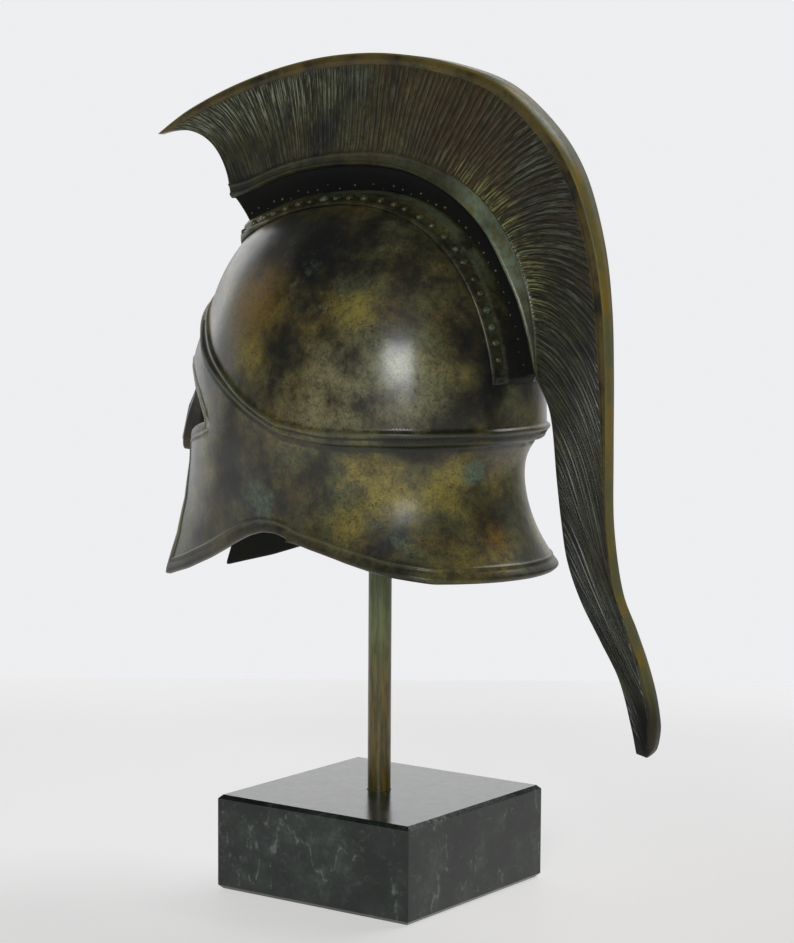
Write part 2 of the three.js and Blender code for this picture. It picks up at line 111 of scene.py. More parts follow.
# Makes a mesh object from millimetres, with optional UV pairs and values per point
def makeMesh(name, points, faces, uv=None, values=None):
    mesh = bpy.data.meshes.new(name)
    mesh.from_pydata((np.asarray(points, float) / 1000).tolist(), [], faces)
    mesh.validate(clean_customdata=False)
    mesh.shade_smooth()
    if uv is not None:
        layer = mesh.uv_layers.new(name="flow")
        corners = np.empty(len(mesh.loops), dtype=np.int32)
        mesh.loops.foreach_get("vertex_index", corners)
        layer.uv.foreach_set("vector", np.asarray(uv, float)[corners].ravel())
    for label, numbers in (values or {}).items():
        layer = mesh.attributes.new(label, "FLOAT", "POINT")
        layer.data.foreach_set("value", np.asarray(numbers, float))
    piece = bpy.data.objects.new(name, mesh)
    bpy.context.scene.collection.objects.link(piece)
    return piece


def gridFaces(rows, columns, closed, flip=False):
    faces = []
    for r in range(rows - 1):
        for c in range(columns if closed else columns - 1):
            d = (c + 1) % columns
            face = [r * columns + c, r * columns + d, (r + 1) * columns + d, (r + 1) * columns + c]
            faces.append(face[::-1] if flip else face)
    return faces


# Nodes: a socket that takes part in sums, and one method for every other node

def feed(tree, target, given):
    if isinstance(given, Wire):
        tree.links.new(given.socket, target)
    else:
        target.default_value = given


class Wire:
    def __init__(self, tree, socket):
        self.tree = tree
        self.socket = socket

    def node(self, kind, *inputs, out=0, **settings):
        made = self.tree.nodes.new(kind)
        for name, setting in settings.items():
            setattr(made, name, setting)
        sockets = [s for s in made.inputs if s.enabled]
        for place, given in inputs:
            feed(self.tree, made.inputs[place] if isinstance(place, str) else sockets[place], given)
        outputs = [s for s in made.outputs if s.enabled]
        return Wire(self.tree, made.outputs[out] if isinstance(out, str) else outputs[out])

    def maths(self, operation, *others):
        return self.node("ShaderNodeMath", *enumerate([self, *others]), operation=operation)

    def vector(self, operation, *others, out=0):
        given = enumerate([self, *others])
        return self.node("ShaderNodeVectorMath", *given, operation=operation, out=out)

    def __add__(self, other):
        return self.maths("ADD", other)

    def __radd__(self, other):
        return self.maths("ADD", other)

    def __sub__(self, other):
        return self.maths("SUBTRACT", other)

    def __rsub__(self, other):
        return self.node("ShaderNodeMath", (0, other), (1, self), operation="SUBTRACT")

    def __mul__(self, other):
        return self.maths("MULTIPLY", other)

    def __rmul__(self, other):
        return self.maths("MULTIPLY", other)

    def between(self, low, high):
        given = [(0, self), (1, low), (2, high), (3, 0.0), (4, 1.0)]
        return self.node("ShaderNodeMapRange", *given, interpolation_type="SMOOTHSTEP")

    # One up to low away from the centre, and nothing from high on
    def near(self, centre, low, high):
        moved = self - centre if centre else self
        return 1.0 - moved.maths("ABSOLUTE").between(low, high)

    # The X, Y or Z of a vector as 0, 1 or 2
    def axis(self, index):
        return self.node("ShaderNodeSeparateXYZ", (0, self), out=index)

    # A noise pattern whose cells are about this many millimetres wide
    def noise(self, width, detail=3.0, rough=0.55, shift=(0.0, 0.0, 0.0), squeeze=None):
        place = self.vector("ADD", shift)
        if squeeze:
            place = place.vector("MULTIPLY", squeeze)
        given = [("Vector", place), ("Scale", 1.0 / width), ("Detail", detail), ("Roughness", rough)]
        return self.node("ShaderNodeTexNoise", *given)

    def tinted(self, share, colour):
        return blend(self, colour, share)


def blend(first, second, share):
    tree = next(w for w in (first, second, share) if isinstance(w, Wire)).tree
    made = tree.nodes.new("ShaderNodeMix")
    made.data_type = "RGBA"
    for socket, value in ((0, share), (6, first), (7, second)):
        feed(tree, made.inputs[socket], (*value, 1.0) if isinstance(value, tuple) else value)
    return Wire(tree, made.outputs[2])


# A new material with its shader, and its place in millimetres as a wire
def newMaterial(name, constants):
    material = bpy.data.materials.new(name)
    material.use_nodes = True
    tree = material.node_tree
    shader = tree.nodes["Principled BSDF"]
    for label, value in constants.items():
        shader.inputs[label].default_value = value
    source = Wire(tree, tree.nodes.new("ShaderNodeTexCoord").outputs["Object"])
    place = source.vector("MULTIPLY", (1000.0, 1000.0, 1000.0))
    return material, shader, place


shaderInputs = {
    "colour": "Base Color",
    "roughness": "Roughness",
    "metallic": "Metallic",
    "normal": "Normal",
    "coat": "Coat Weight",
}


def connect(shader, **wires):
    for key, wire in wires.items():
        feed(wire.tree, shader.inputs[shaderInputs[key]], wire)


def attribute(wire, name):
    return wire.node("ShaderNodeAttribute", attribute_name=name, out="Fac")


def surfaceBump(height, distance):
    given = [("Strength", 1.0), ("Distance", distance / 1000), ("Height", height)]
    return height.node("ShaderNodeBump", *given)


# A soft-edged spot round a point in millimetres
def spot(place, centre, radius):
    away = place.vector("SUBTRACT", centre).vector("LENGTH", out="Value")
    return 1.0 - away.between(radius * 0.15, radius * 1.1)


# Patinated and waxed bronze, shared by all castings
bronzeTints = {
    "black": (0.009, 0.010, 0.008),
    "brown": (0.028, 0.024, 0.012),
    "olive": (0.080, 0.086, 0.036),
    "umber": (0.100, 0.076, 0.021),
    "ochre": (0.230, 0.185, 0.038),
    "verdigris": (0.120, 0.170, 0.125),
    "orange": (0.175, 0.100, 0.007),
    "pale": (0.240, 0.225, 0.115),
}

# Soft patches as centre and radius in mm; the pale patches are painted light round the lit middle of
# the dome
bronzePatches = {
    "orange": [((12, -62, 205), 24), ((40, -25, 200), 21), ((10, 55, 126), 8)],
    "ochre": [
        ((39, 15, 198), 14), ((31, 42, 184), 13), ((44, -22, 188), 12),
        ((37, 27, 141), 17), ((23, 43, 141), 16), ((40, 14, 128), 13),
    ],
    "pale": [((46, 14, 172), 24), ((37, 36, 176), 19)],
    "verdigris": [((14, 47, 147), 8), ((44, -20, 136), 12), ((37, 33, 126), 5), ((48, -48, 140), 12)],
    # the dark patches are dark patina, except the two on the top of the dome, (34, 3, 220) and (30,
    # -30, 222), which are painted shade
    "dark": [
        ((38, 34, 158), 10), ((27, 48, 158), 11), ((9, 55, 157), 12), ((42, -36, 153), 17),
        ((34, 3, 220), 22), ((30, -30, 222), 18), ((21, 48, 190), 14), ((47, 16, 159), 9),
        ((12, 51, 132), 13), ((47, -6, 187), 13), ((14, 52, 172), 12), ((8, 54, 184), 9),
    ],
}


# Width in mm, detail, roughness and shift of the patina's noises
bronzeNoises = {
    "broad": (30.0, 3.0, 0.5, (0.0, 0.0, 0.0)),
    "middle": (11.0, 4.0, 0.55, (31.0, 7.0, 3.0)),
    "small": (3.0, 4.0, 0.6, (5.0, 41.0, 9.0)),
    "grain": (0.8, 3.0, 0.6, (11.0, 2.0, 19.0)),
    "tone": (19.0, 3.0, 0.55, (71.0, 23.0, 5.0)),
    "teal": (14.0, 5.0, 0.65, (60.0, 13.0, 77.0)),
    "pits": (1.3, 2.0, 0.5, (3.0, 8.0, 55.0)),
    "crack": (6.0, 4.0, 0.62, (17.0, 90.0, 2.0)),
}

bronzeLook = {
    "Coat Roughness": 0.21,
    "Coat IOR": 1.5,
    "IOR": 1.45,
}


# The finish function changes the parts of the look for one piece
def bronze(
    name, darkness=0.0, green=0.3, ochre=0.5, patches=True, relief=0.09, finish=None, shine=0.3
):
    material, shader, place = newMaterial(name, {**bronzeLook, "Specular IOR Level": shine})
    noises = {label: place.noise(*settings) for label, settings in bronzeNoises.items()}
    middle, small, grain = (noises[label] for label in ("middle", "small", "grain"))
    masks = {}
    for kind, spots in bronzePatches.items() if patches else []:
        masks[kind] = spot(place, *spots[0])
        for centre, radius in spots[1:]:
            masks[kind] = masks[kind] + spot(place, centre, radius)
    push = (noises["broad"] * 0.5 + middle * 0.36 + small * 0.14 - 0.5) * 1.75 + 0.47
    if patches:
        # the dark patches darken the patina; on the top of the dome this is painted shade
        push = push + masks["ochre"] * 0.2 - masks["dark"] * 0.19
    colour = blend(bronzeTints["black"], bronzeTints["brown"], push.between(0.2, 0.42))
    middleTone = blend(bronzeTints["olive"], bronzeTints["umber"], noises["tone"].between(0.36, 0.64))
    colour = colour.tinted(push.between(0.32, 0.6), middleTone)
    gold = push.between(0.58 - 0.12 * ochre, 0.88 - 0.12 * ochre)
    colour = colour.tinted(gold, bronzeTints["ochre"])
    teal = noises["teal"]
    if patches:
        warm = masks["orange"] * (middle + small * 0.3).between(0.34, 0.66)
        colour = colour.tinted(warm * 0.95, bronzeTints["orange"])
        # painted light: the pale patches lighten the dome round its highlight
        paintedLight = masks["pale"] * (middle * 0.8 + small * 0.2).between(0.3, 0.65)
        colour = colour.tinted(paintedLight * 0.7, bronzeTints["pale"])
        teal = teal + masks["verdigris"] * 0.31
    bloom = (teal + (small - 0.5) * 0.35).between(0.66 - 0.12 * green, 0.92 - 0.12 * green)
    colour = colour.tinted(bloom * 0.7, bronzeTints["verdigris"])
    flecks = (small * 0.4 + grain * 0.6).between(0.6, 0.34)
    colour = colour.tinted(flecks * 0.55, bronzeTints["black"])
    if darkness:
        colour = colour.tinted(darkness, bronzeTints["black"])
    crack = noises["crack"].near(0.5, 0.0, 0.012) * middle.between(0.5, 0.62)
    worn = noises["pits"].between(0.34, 0.27) * 0.7 + crack * 0.45
    wax = 0.55 - bloom * 0.4 + (middle - 0.5) * 0.3 + (grain - 0.5) * 0.3
    parts = {
        "place": place,
        "small": small,
        "middle": middle,
        "colour": colour.tinted(worn, bronzeTints["black"]),
        "height": grain * 0.4 + small * 0.9 + middle * 1.5 - worn * 1.6,
        "rough": 0.44 + (small - 0.5) * 0.25 + bloom * 0.2,
        "wax": wax * (1.0 - warm * 0.6) if patches else wax,
    }
    if finish:
        finish(parts)
    normal = surfaceBump(parts["height"], relief)
    metal = gold * 0.12 + 0.05
    connect(shader, colour=parts["colour"], roughness=parts["rough"], metallic=metal, normal=normal)
    connect(shader, coat=parts["wax"])
    return material


print("helpers ready")


# Helmet shell: sections and profiles of the skull and the face

skull = {
    "halfWidth": 50.5,
    "front": 67.5,
    "rear": 61.5,
    "rise": 78.0,
    "centre": -6.0,
    "wall": 3.0,
    "level": 158.5,
    "widthPower": 2.15,
    "frontPower": 2.8,
    "rearPower": 2.3,
    "frontSection": 1.7,
    "rearSection": 2.3,
}

face = {
    "neckDrop": 45.8,
    "cheekReach": 99.4,
    "browRise": 44.0,
    "inset": 6.6,
    "insetDrop": 14.0,
    "flare": 12.8,
    "waist": 0.694,
    "nasalPush": 7.8,
    "nasalHalfWidth": 5.0,
    "nasalTop": 1.25,
    "nasalFoot": 0.378,
    "eyeReach": 33.2,
    "bead": 1.3,
    "beadRelief": 1.2,
    "edgeRound": 0.95,
    "borderPlace": 4.3,
    "borderRelief": 0.32,
    "borderHalf": 0.75,
    "coveDepth": 0.35,
    "covePlace": -3.4,
    "coveHalf": 0.9,
    "unevenness": 0.12,
}

# Height share, half width, front reach and front power, as in the part
faceRows = np.array([
    [-0.24, 0.921, 1.015, 1.3],
    [0.12, 0.931, 0.905, 1.35],
    [0.4, 0.943, 0.831, 1.42],
    [0.68, 0.96, 0.778, 1.5],
    [0.92, 0.982, 0.75, 1.55],
    [1.1, 0.99, 0.74, 1.57],
    [1.25, 0.97, 0.738, 1.6],
    [1.33, 0.956, 0.708, 1.66],
    [1.4, 0.941, 0.678, 1.7],
    [1.51, 0.911, 0.652, 1.7],
    [1.6, 0.871, 0.623, 1.7],
])

# Turn from the front in degrees and height share of the lower edge
edgeRows = np.array([
    [0, -0.24], [32, -0.215], [42, -0.125], [52, 0], [62, 0.145], [68, 0.22], [74, 0.265],
    [80, 0.268], [87, 0.235], [96, 0.175], [108, 0.11], [122, 0.05], [140, 0.01], [180, 0],
])

# Right half of the front opening: share of the eye's reach and height share
openingRows = np.array([
    [0.53, -0.3], [0.53, -0.2], [0.5, 0.92], [1, 1.017], [0.88, 1.094], [0.75, 1.147],
    [0.66, 1.195], [0.54, 1.226], [0.39, 1.228], [0.27, 1.2], [0.185, 1.13], [0.15, 1.02],
    [0.13, 0.86], [0.1, 0.75], [0.04, 0.715],
])


# Steps in mm, rows beside the edge, and rows beside the middle of the moulding
shellMesh = {
    "rounding": 12,
    "borderStep": 0.85,
    "beadStep": 1.1,
    "outerStep": 1.2,
    "innerStep": 2.6,
    "edgeRows": [0.16, 0.42, 0.8, 1.3, 2.0, 2.8, 3.3, 3.7, 4.0, 4.3, 4.6, 4.9, 5.3, 6.0],
    "innerRows": [0.35, 0.8, 1.8],
    "beadRows": [
        -4.2, -3.6, -3.1, -2.6, -2.2, -1.75, -1.3, -0.85, -0.45,
        -0.15, 0.15, 0.45, 0.85, 1.3, 1.75, 2.2, 2.6, 3.2,
    ],
    "latticeTurns": 721,
    "latticeFoot": -60,
    "latticeAbove": 3.7,
    "latticeBelow": -4.7,
    "latticeIn": 6.6,
}


def heightAt(share):
    share = np.asarray(share, float)
    return np.where(share < 1, (share - 1) * face["neckDrop"], (share - 1) * skull["rise"])


def shareAt(height):
    return 1 + height / np.where(height < 0, face["neckDrop"], skull["rise"])


def taper(share, power):
    return (1 - np.clip(share, 0, 1) ** power) ** (1 / power)


def sectionPoint(turn, halfWidth, front, rear, power):
    s, c = np.sin(turn), np.cos(turn)
    reach = np.where(c > 0, front, rear)
    n = np.where(c > 0, power, skull["rearSection"])
    across = np.abs(s) ** (2 / n)
    along = np.abs(c) ** (2 / n)
    outward = [np.sign(s) * across ** (n - 1) / halfWidth, -np.sign(c) * along ** (n - 1) / reach]
    x = np.sign(s) * across * halfWidth
    y = skull["centre"] - np.sign(c) * along * reach
    return x, y, unit(np.stack(outward, -1))


def mouldingHeight(turn):
    return face["browRise"] * np.maximum(0, (np.cos(turn) + 0.3) / 1.3) ** 2


def skullPoint(turn, height):
    share = height / skull["rise"]
    keys = (("halfWidth", "widthPower"), ("front", "frontPower"), ("rear", "rearPower"))
    width, front, rear = (skull[a] * np.maximum(taper(share, skull[b]), 1e-6) for a, b in keys)
    x, y, _ = sectionPoint(turn, width, front, rear, skull["frontSection"])
    return np.stack([x, y, height], -1)


def nasalSwell(x, height):
    top, foot = heightAt(face["nasalTop"]), heightAt(face["nasalFoot"])
    t = np.clip((top - height) / (top - foot), 0, 1)
    side = np.abs(x) / face["nasalHalfWidth"]
    keel = np.where(side < 1, 1 - 0.5 * side ** 2, np.clip(0.5 - 0.625 * (side - 1), 0, 1))
    return face["nasalPush"] * np.abs(np.sin(math.pi * t)) ** 2.4 * keel


def facePoint(turn, height, swell=True):
    share = shareAt(height)
    width, reach, power = (np.interp(share, faceRows[:, 0], faceRows[:, k]) for k in (1, 2, 3))
    width, reach = width * skull["halfWidth"], reach * face["cheekReach"]
    x, y, normal = sectionPoint(turn, width, reach, skull["rear"], power)
    angle = np.degrees(np.abs(turn))
    below = np.clip((mouldingHeight(turn) - height) / face["insetDrop"], 0, 1)
    inset = face["inset"] * (1 - (1 - below) ** 2.4) * smooth(angle, 55, 125)
    fall = np.clip((face["waist"] - share) / face["waist"], 0, 1.1)
    push = face["flare"] * fall ** 1.9 * smooth(angle, 70, 140) - inset
    forward = nasalSwell(x, height) * (np.cos(turn) > 0) if swell else 0.0
    return np.stack([x + normal[:, 0] * push, y + normal[:, 1] * push - forward, height], -1)


# The shell is drawn on a flat map, seen from above, with the crown in the middle
mapRadius = 50.0


def toMap(turn, height):
    dome = np.tan(np.arccos(np.clip(height / skull["rise"], -1, 1)) / 2)
    wall = np.exp(-np.minimum(height, 0) / skull["rise"])
    radius = mapRadius * np.where(height > 0, dome, wall)
    return np.stack([radius * np.sin(turn), -radius * np.cos(turn)], -1)


def fromMap(places):
    radius = np.hypot(places[:, 0], places[:, 1])
    turn = np.arctan2(places[:, 0], -places[:, 1])
    dome = skull["rise"] * np.cos(2 * np.arctan(radius / mapRadius))
    wall = -skull["rise"] * np.log(np.maximum(radius, 1e-9) / mapRadius)
    return turn, np.where(radius < mapRadius, dome, wall)


def shellBase(places, swell=True):
    turn, height = fromMap(places)
    over = height - mouldingHeight(turn)
    lower = facePoint(turn, height, swell)
    upper = skullPoint(turn, np.maximum(height, 0))
    return mix(lower, upper, smooth(over, -0.3, 1.1)[:, None])


def shellNormal(places, swell=True):
    steps = 0.06 * np.eye(2)
    east, north = (shellBase(places + d, swell) - shellBase(places - d, swell) for d in steps)
    return unit(np.cross(east, north))


def resample(places, spacing):
    ring = np.vstack([places, places[:1]])
    steps = lengthSoFar(shellBase(ring))
    count = max(8, int(round(steps[-1] / spacing)))
    marks = np.linspace(0, steps[-1], count + 1)[:-1]
    return np.stack([np.interp(marks, steps, ring[:, k]) for k in (0, 1)], 1)


def edgeHeight(turn):
    return heightAt(np.interp(np.degrees(turn), edgeRows[:, 0], edgeRows[:, 1]))


# Outline of the casting on the map: the lower edge, then the slit, the eyes and the nasal
def shellOutline():
    x, z = openingRows[:, 0] * face["eyeReach"], heightAt(openingRows[:, 1])
    right = alongPath(np.stack([x, z], 1), 0.3)
    low, high = np.zeros(len(right)), np.full(len(right), math.radians(89))
    for _ in range(40):
        middle = (low + high) / 2
        tooFar = facePoint(middle, right[:, 1])[:, 0] > right[:, 0]
        low, high = np.where(tooFar, low, middle), np.where(tooFar, middle, high)
    turn, height = low, right[:, 1]
    keep = height > edgeHeight(turn) + 0.2
    turn, height = turn[keep], height[keep]
    around = np.linspace(turn[0], 2 * math.pi - turn[0], 1400)
    lower = toMap(around, edgeHeight(np.abs((around + math.pi) % (2 * math.pi) - math.pi)))
    half = toMap(turn, height)
    loop = np.vstack([lower, half * [-1, 1], half[::-1]])
    loop = resample(loop, 0.4)
    for _ in range(shellMesh["rounding"]):
        loop = (np.roll(loop, 1, 0) + 2 * loop + np.roll(loop, -1, 0)) / 4
    return loop


def inwardRows(loop, offsets, tree):
    ahead = np.roll(loop, -1, 0) - np.roll(loop, 1, 0)
    inward = unit(np.stack([-ahead[:, 1], ahead[:, 0]], 1))
    reach = np.linalg.norm(shellBase(loop + inward * 0.1) - shellBase(loop), axis=1) / 0.1
    rows = []
    for offset in offsets:
        row = loop + inward * (offset / reach)[:, None]
        rows.append(row[edgeDistance(row, tree) > offset * 0.9])
    return np.vstack(rows)


def edgeDistance(places, tree):
    return np.array([tree.find(Vector(p))[2] for p in shellBase(places)])


def mapLattice(spacing):
    radius = skull["rise"]
    tilts = np.arange(spacing, radius * math.pi / 2, spacing) / radius
    rings = [radius * math.cos(tilt) for tilt in tilts]
    rings += list(np.arange(0, shellMesh["latticeFoot"], -spacing))
    around = np.linspace(-math.pi, math.pi, shellMesh["latticeTurns"])
    points = [np.zeros((1, 2))]
    for height in rings:
        steps = lengthSoFar(shellBase(toMap(around, np.full(around.shape, height))))
        half = max(5, int(round(steps[-1] / spacing / 2)))
        marks = np.linspace(0, steps[-1], 2 * half + 1)[:-1]
        turns = np.interp(marks, steps, around)
        points.append(toMap(turns, np.full(len(turns), height)))
    return np.vstack(points)


def inside(places, loop):
    hit = np.zeros(len(places), bool)
    x, y = places[:, 0], places[:, 1]
    ends = np.roll(loop, -1, 0)
    for (x0, y0), (x1, y1) in zip(loop, ends):
        if y0 == y1:
            continue
        crosses = (y0 > y) != (y1 > y)
        hit ^= crosses & (x < (x1 - x0) * (y - y0) / (y1 - y0) + x0)
    return hit


def spread(places, cell):
    keys = np.round(shellBase(places) / cell).astype(int)
    _, first = np.unique(keys, axis=0, return_index=True)
    return places[np.sort(first)]


def triangulate(loop, places):
    points = [Vector(p) for p in np.vstack([loop, places])]
    ring = list(range(len(loop)))
    made = delaunay_2d_cdt(points, [], [ring], 1, 1e-7)
    return np.array([tuple(v) for v in made[0]]), [list(face) for face in made[2]]


def edgeTree(loop):
    fine = shellBase(resample(loop, 0.1))
    tree = kdtree.KDTree(len(fine))
    for i, point in enumerate(fine):
        tree.insert(Vector(point), i)
    tree.balance()
    return tree


def outerSheet(border, tree):
    rows = inwardRows(border, shellMesh["edgeRows"], tree)
    around = np.linspace(-math.pi, math.pi, 1600)[:-1]
    lines = [toMap(around, mouldingHeight(around) + over) for over in shellMesh["beadRows"]]
    beads = [resample(line, shellMesh["beadStep"]) for line in lines]
    lattice = mapLattice(shellMesh["outerStep"])
    turn, height = fromMap(lattice)
    over = height - mouldingHeight(turn)
    lattice = lattice[(over < shellMesh["latticeBelow"]) | (over > shellMesh["latticeAbove"])]
    lattice = lattice[inside(lattice, border)]
    lattice = lattice[edgeDistance(lattice, tree) > shellMesh["latticeIn"]]
    return triangulate(border, spread(np.vstack([*beads, rows, lattice]), 0.3))


def innerSheet(border, tree):
    rows = inwardRows(border, shellMesh["innerRows"], tree)
    lattice = mapLattice(shellMesh["innerStep"])
    lattice = lattice[inside(lattice, border)]
    lattice = lattice[edgeDistance(lattice, tree) > 3.0]
    return triangulate(border, spread(np.vstack([rows, lattice]), 0.4))


# How far the rounded edge falls back from the flat
def edgeFall(away):
    radius = face["edgeRound"]
    corner = np.clip(radius - away, 0, radius)
    return radius - np.sqrt(np.maximum(radius ** 2 - corner ** 2, 0))


# Height of the double moulding, the line along the border and a slight unevenness
def outerRelief(turn, height, over, away):
    near = np.abs(np.abs(over) - face["bead"]) / face["bead"]
    relief = face["beadRelief"] * np.maximum(0, 1 - near ** 2)
    relief -= face["coveDepth"] * bump(over, face["covePlace"], face["coveHalf"])
    line = face["borderPlace"]
    ridge = bump(away, line, face["borderHalf"]) - 0.5 * bump(away, line - 1.15, 0.5)
    relief += face["borderRelief"] * ridge - edgeFall(away)
    return relief + face["unevenness"] * wander(turn * 9, height / 7, 5) * smooth(away, 0, 3)


def makeShell():
    loop = shellOutline()
    tree = edgeTree(loop)
    border = resample(loop, shellMesh["borderStep"])
    count = len(border)
    outer, faces = outerSheet(border, tree)
    inner, innerFaces = innerSheet(border, tree)

    away, innerAway = edgeDistance(outer, tree), edgeDistance(inner, tree)
    away[:count] = innerAway[:count] = 0
    turn, height = fromMap(outer)
    over = height - mouldingHeight(turn)
    relief = outerRelief(turn, height, over, away)
    outerPoints = shellBase(outer) + shellNormal(outer) * relief[:, None]

    depth = skull["wall"] - edgeFall(innerAway)
    innerBase = shellBase(inner, False)
    innerPoints = innerBase - shellNormal(inner, False) * depth[:, None]
    innerPoints[:, 0] = np.where(innerPoints[:, 0] * innerBase[:, 0] < 0, 0, innerPoints[:, 0])

    start, total = len(outer), len(outer) + len(inner)
    faces += [[i + start for i in reversed(f)] for f in innerFaces]
    points = [outerPoints, innerPoints]
    rim = [range(count)]
    for share in (0.33, 0.67):
        points.append(mix(outerPoints[:count], innerPoints[:count], share))
        rim.append(range(total, total + count))
        total += count
    rim.append(range(start, start + count))
    for a, b in zip(rim, rim[1:]):
        for i in range(count):
            j = (i + 1) % count
            faces.append([a[j], a[i], b[i], b[j]])
    points = np.vstack(points)
    points[:, 2] += skull["level"]
    beginnings = {"edgeAway": 0.0, "overLine": -30.0, "within": 0.0}
    values = {label: np.full(total, number) for label, number in beginnings.items()}
    values["edgeAway"][:start] = away
    values["overLine"][:start] = over
    values["within"][start:start + len(inner)] = 1
    return makeMesh("helmetShell", points, faces, values=values)


shell = makeShell()
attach(shell, "root")
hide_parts("helmet_shell")
print("shell", len(shell.data.polygons))


dentSpot = ((41, 17, 133), 17)
wornSpot = ((33, 38, 131), 13)


def shellFinish(parts):
    place, colour = parts["place"], parts["colour"]
    over = attribute(place, "overLine")
    away = attribute(place, "edgeAway")
    within = attribute(place, "within")
    fromLine = over.maths("ABSOLUTE")
    groove = 1.0 - (over * over).between(0.0, 0.25)
    below = 1.0 - ((over + 3.6) * (over + 3.6)).between(0.2, 3.2)
    dark = (groove + below * 0.75).maths("MINIMUM", 1.0)
    fromBead, fromBorder = fromLine - face["bead"], away - face["borderPlace"]
    ridge = 1.0 - (fromBead * fromBead).between(0.02, 0.5)
    lip = 1.0 - away.between(0.4, 2.2)
    border = 1.0 - (fromBorder * fromBorder).between(0.02, 0.6)
    shades = [
        (dark * 0.8, "black"),
        (ridge * 0.3, "olive"),
        (lip * 0.35, "brown"),
        (border * 0.3, "olive"),
        # painted shade: the inner side of the shell is tinted nearly black
        (within * 0.9, "black"),
    ]
    for share, tint in shades:
        colour = colour.tinted(share, bronzeTints[tint])
    parts["colour"] = colour
    lower = 1.0 - over.between(-6.0, 1.0)
    parts["rough"] = parts["rough"] + within * 0.25 + lower * 0.06
    dents = spot(place, *dentSpot) * (parts["small"] * 3.0 + parts["middle"] * 7.0)
    parts["height"] = parts["height"] + dents
    line = 1.0 - fromLine.between(2.0, 4.0)
    dull = (line * 0.6 + (1.0 - away.between(4.0, 6.0)) * 0.6).maths("MINIMUM", 0.8)
    wax = parts["wax"] * (1.0 - spot(place, *wornSpot) * 0.8) * (1.0 - within)
    parts["wax"] = wax * (1.0 - lower * 0.2) * (1.0 - dull * 0.8)


shell.data.materials.append(bronze("patinatedBronze", finish=shellFinish))


# Crest: lower border, cast strands and rim, swept along two guide curves

crest = {
    "standOff": 10.0,
    "length": 208.4,
    "rise": 125.5,
    "tailDrop": 101.1,
    "thickness": 10.0,
    "borderThickness": 9.0,
    "rimBevel": 3.2,
    "strandPitch": 2.0,
    "tailPitch": 3.0,
    "perStrand": 6,
    "strandDepth": 0.62,
    "strandSpread": 0.42,
    "strandSway": 0.16,
    "strandLean": 1.45,
    "borderSteps": 15,
    "hairSteps": 30,
    "rimSteps": [0, 0.08, 0.2, 0.35, 0.5, 0.65, 0.78, 0.88, 0.95, 1.0],
}

# Turn, stand-off, rim Y, rim Z, rim thickness, border thickness, bow and strand drop in mm
mountedRows = np.array([
    [51.5, 1.6, -0.479, 0.802, 0.32, 0.8, 0.26, 0],
    [57.5, 1.265, -0.403, 0.867, 0.66, 0.95, 0.14, 0],
    [66.2, 1.115, -0.302, 0.929, 0.86, 1, 0.06, 0],
    [74.5, 1.065, -0.192, 0.976, 0.97, 1, 0.03, 0],
    [84.5, 1.05, -0.086, 1, 1, 1, 0.01, 0],
    [92.5, 1.015, 0.024, 0.999, 1, 1, 0, 0],
    [102.7, 0.94, 0.134, 0.968, 1, 1, 0, 1],
    [114.2, 0.86, 0.235, 0.908, 1, 1, 0, 3],
    [124, 0.82, 0.318, 0.795, 0.99, 0.98, 0, 6],
    [133, 0.76, 0.37, 0.673, 0.9, 0.94, -0.01, 9],
    [142.7, 0.66, 0.405, 0.508, 0.74, 0.86, -0.03, 14],
    [151.2, 0.66, 0.422, 0.347, 0.6, 0.76, -0.05, 21],
    [159.7, 0.66, 0.428, 0.179, 0.53, 0.66, -0.07, 28],
    [168, 0.74, 0.43, -0.035, 0.5, 0.55, -0.08, 31],
])

# Inner edge and rim of the tail, then the same sizes
tailRows = np.array([
    [0.326, 0.062, 0.433, -0.272, 0.48, 0.5, -0.07, 32],
    [0.34, -0.136, 0.449, -0.478, 0.54, 0.52, -0.05, 31],
    [0.349, -0.263, 0.475, -0.601, 0.58, 0.54, -0.03, 29],
    [0.361, -0.391, 0.495, -0.697, 0.58, 0.54, -0.01, 23.5],
    [0.386, -0.515, 0.51, -0.786, 0.55, 0.52, 0, 17],
    [0.422, -0.637, 0.518, -0.856, 0.52, 0.5, 0, 11.5],
    [0.457, -0.758, 0.521, -0.911, 0.5, 0.48, 0, 7.2],
    [0.478, -0.9, 0.516, -0.972, 0.44, 0.42, 0, 2.7],
    [0.486, -0.992, 0.505, -1, 0.14, 0.12, 0, 0],
])


def ridgePoint(angle):
    c, s = np.cos(np.radians(angle)), np.sin(np.radians(angle))
    power = np.where(c > 0, skull["frontPower"], skull["rearPower"])
    reach = np.where(c > 0, -skull["front"], skull["rear"])
    y = skull["centre"] + reach * np.abs(c) ** (2 / power)
    return np.stack([y, skull["rise"] * np.abs(s) ** (2 / power)], -1)


def ridgeNormal(angle):
    along = unit(ridgePoint(angle + 0.5) - ridgePoint(angle - 0.5))
    return np.stack([-along[..., 1], along[..., 0]], -1)


def levelled(share):
    return np.where(share > 0, share * crest["rise"], share * crest["tailDrop"])


def placed(rows, column):
    return np.stack([rows[:, column] * crest["length"], levelled(rows[:, column + 1])], 1)


mountedTurns, mountedOff = mountedRows[:, 0], mountedRows[:, 1:2] * crest["standOff"]
mountedFoot = ridgePoint(mountedTurns) + ridgeNormal(mountedTurns) * mountedOff
footControls = np.vstack([mountedFoot, placed(tailRows, 0)])
rimControls = np.vstack([placed(mountedRows, 2), placed(tailRows, 2)])
crestSizes = np.vstack([mountedRows[:, 4:], tailRows[:, 4:]])
lastControl = len(footControls) - 1
borderEnd = (len(mountedRows) - 0.5) / lastControl


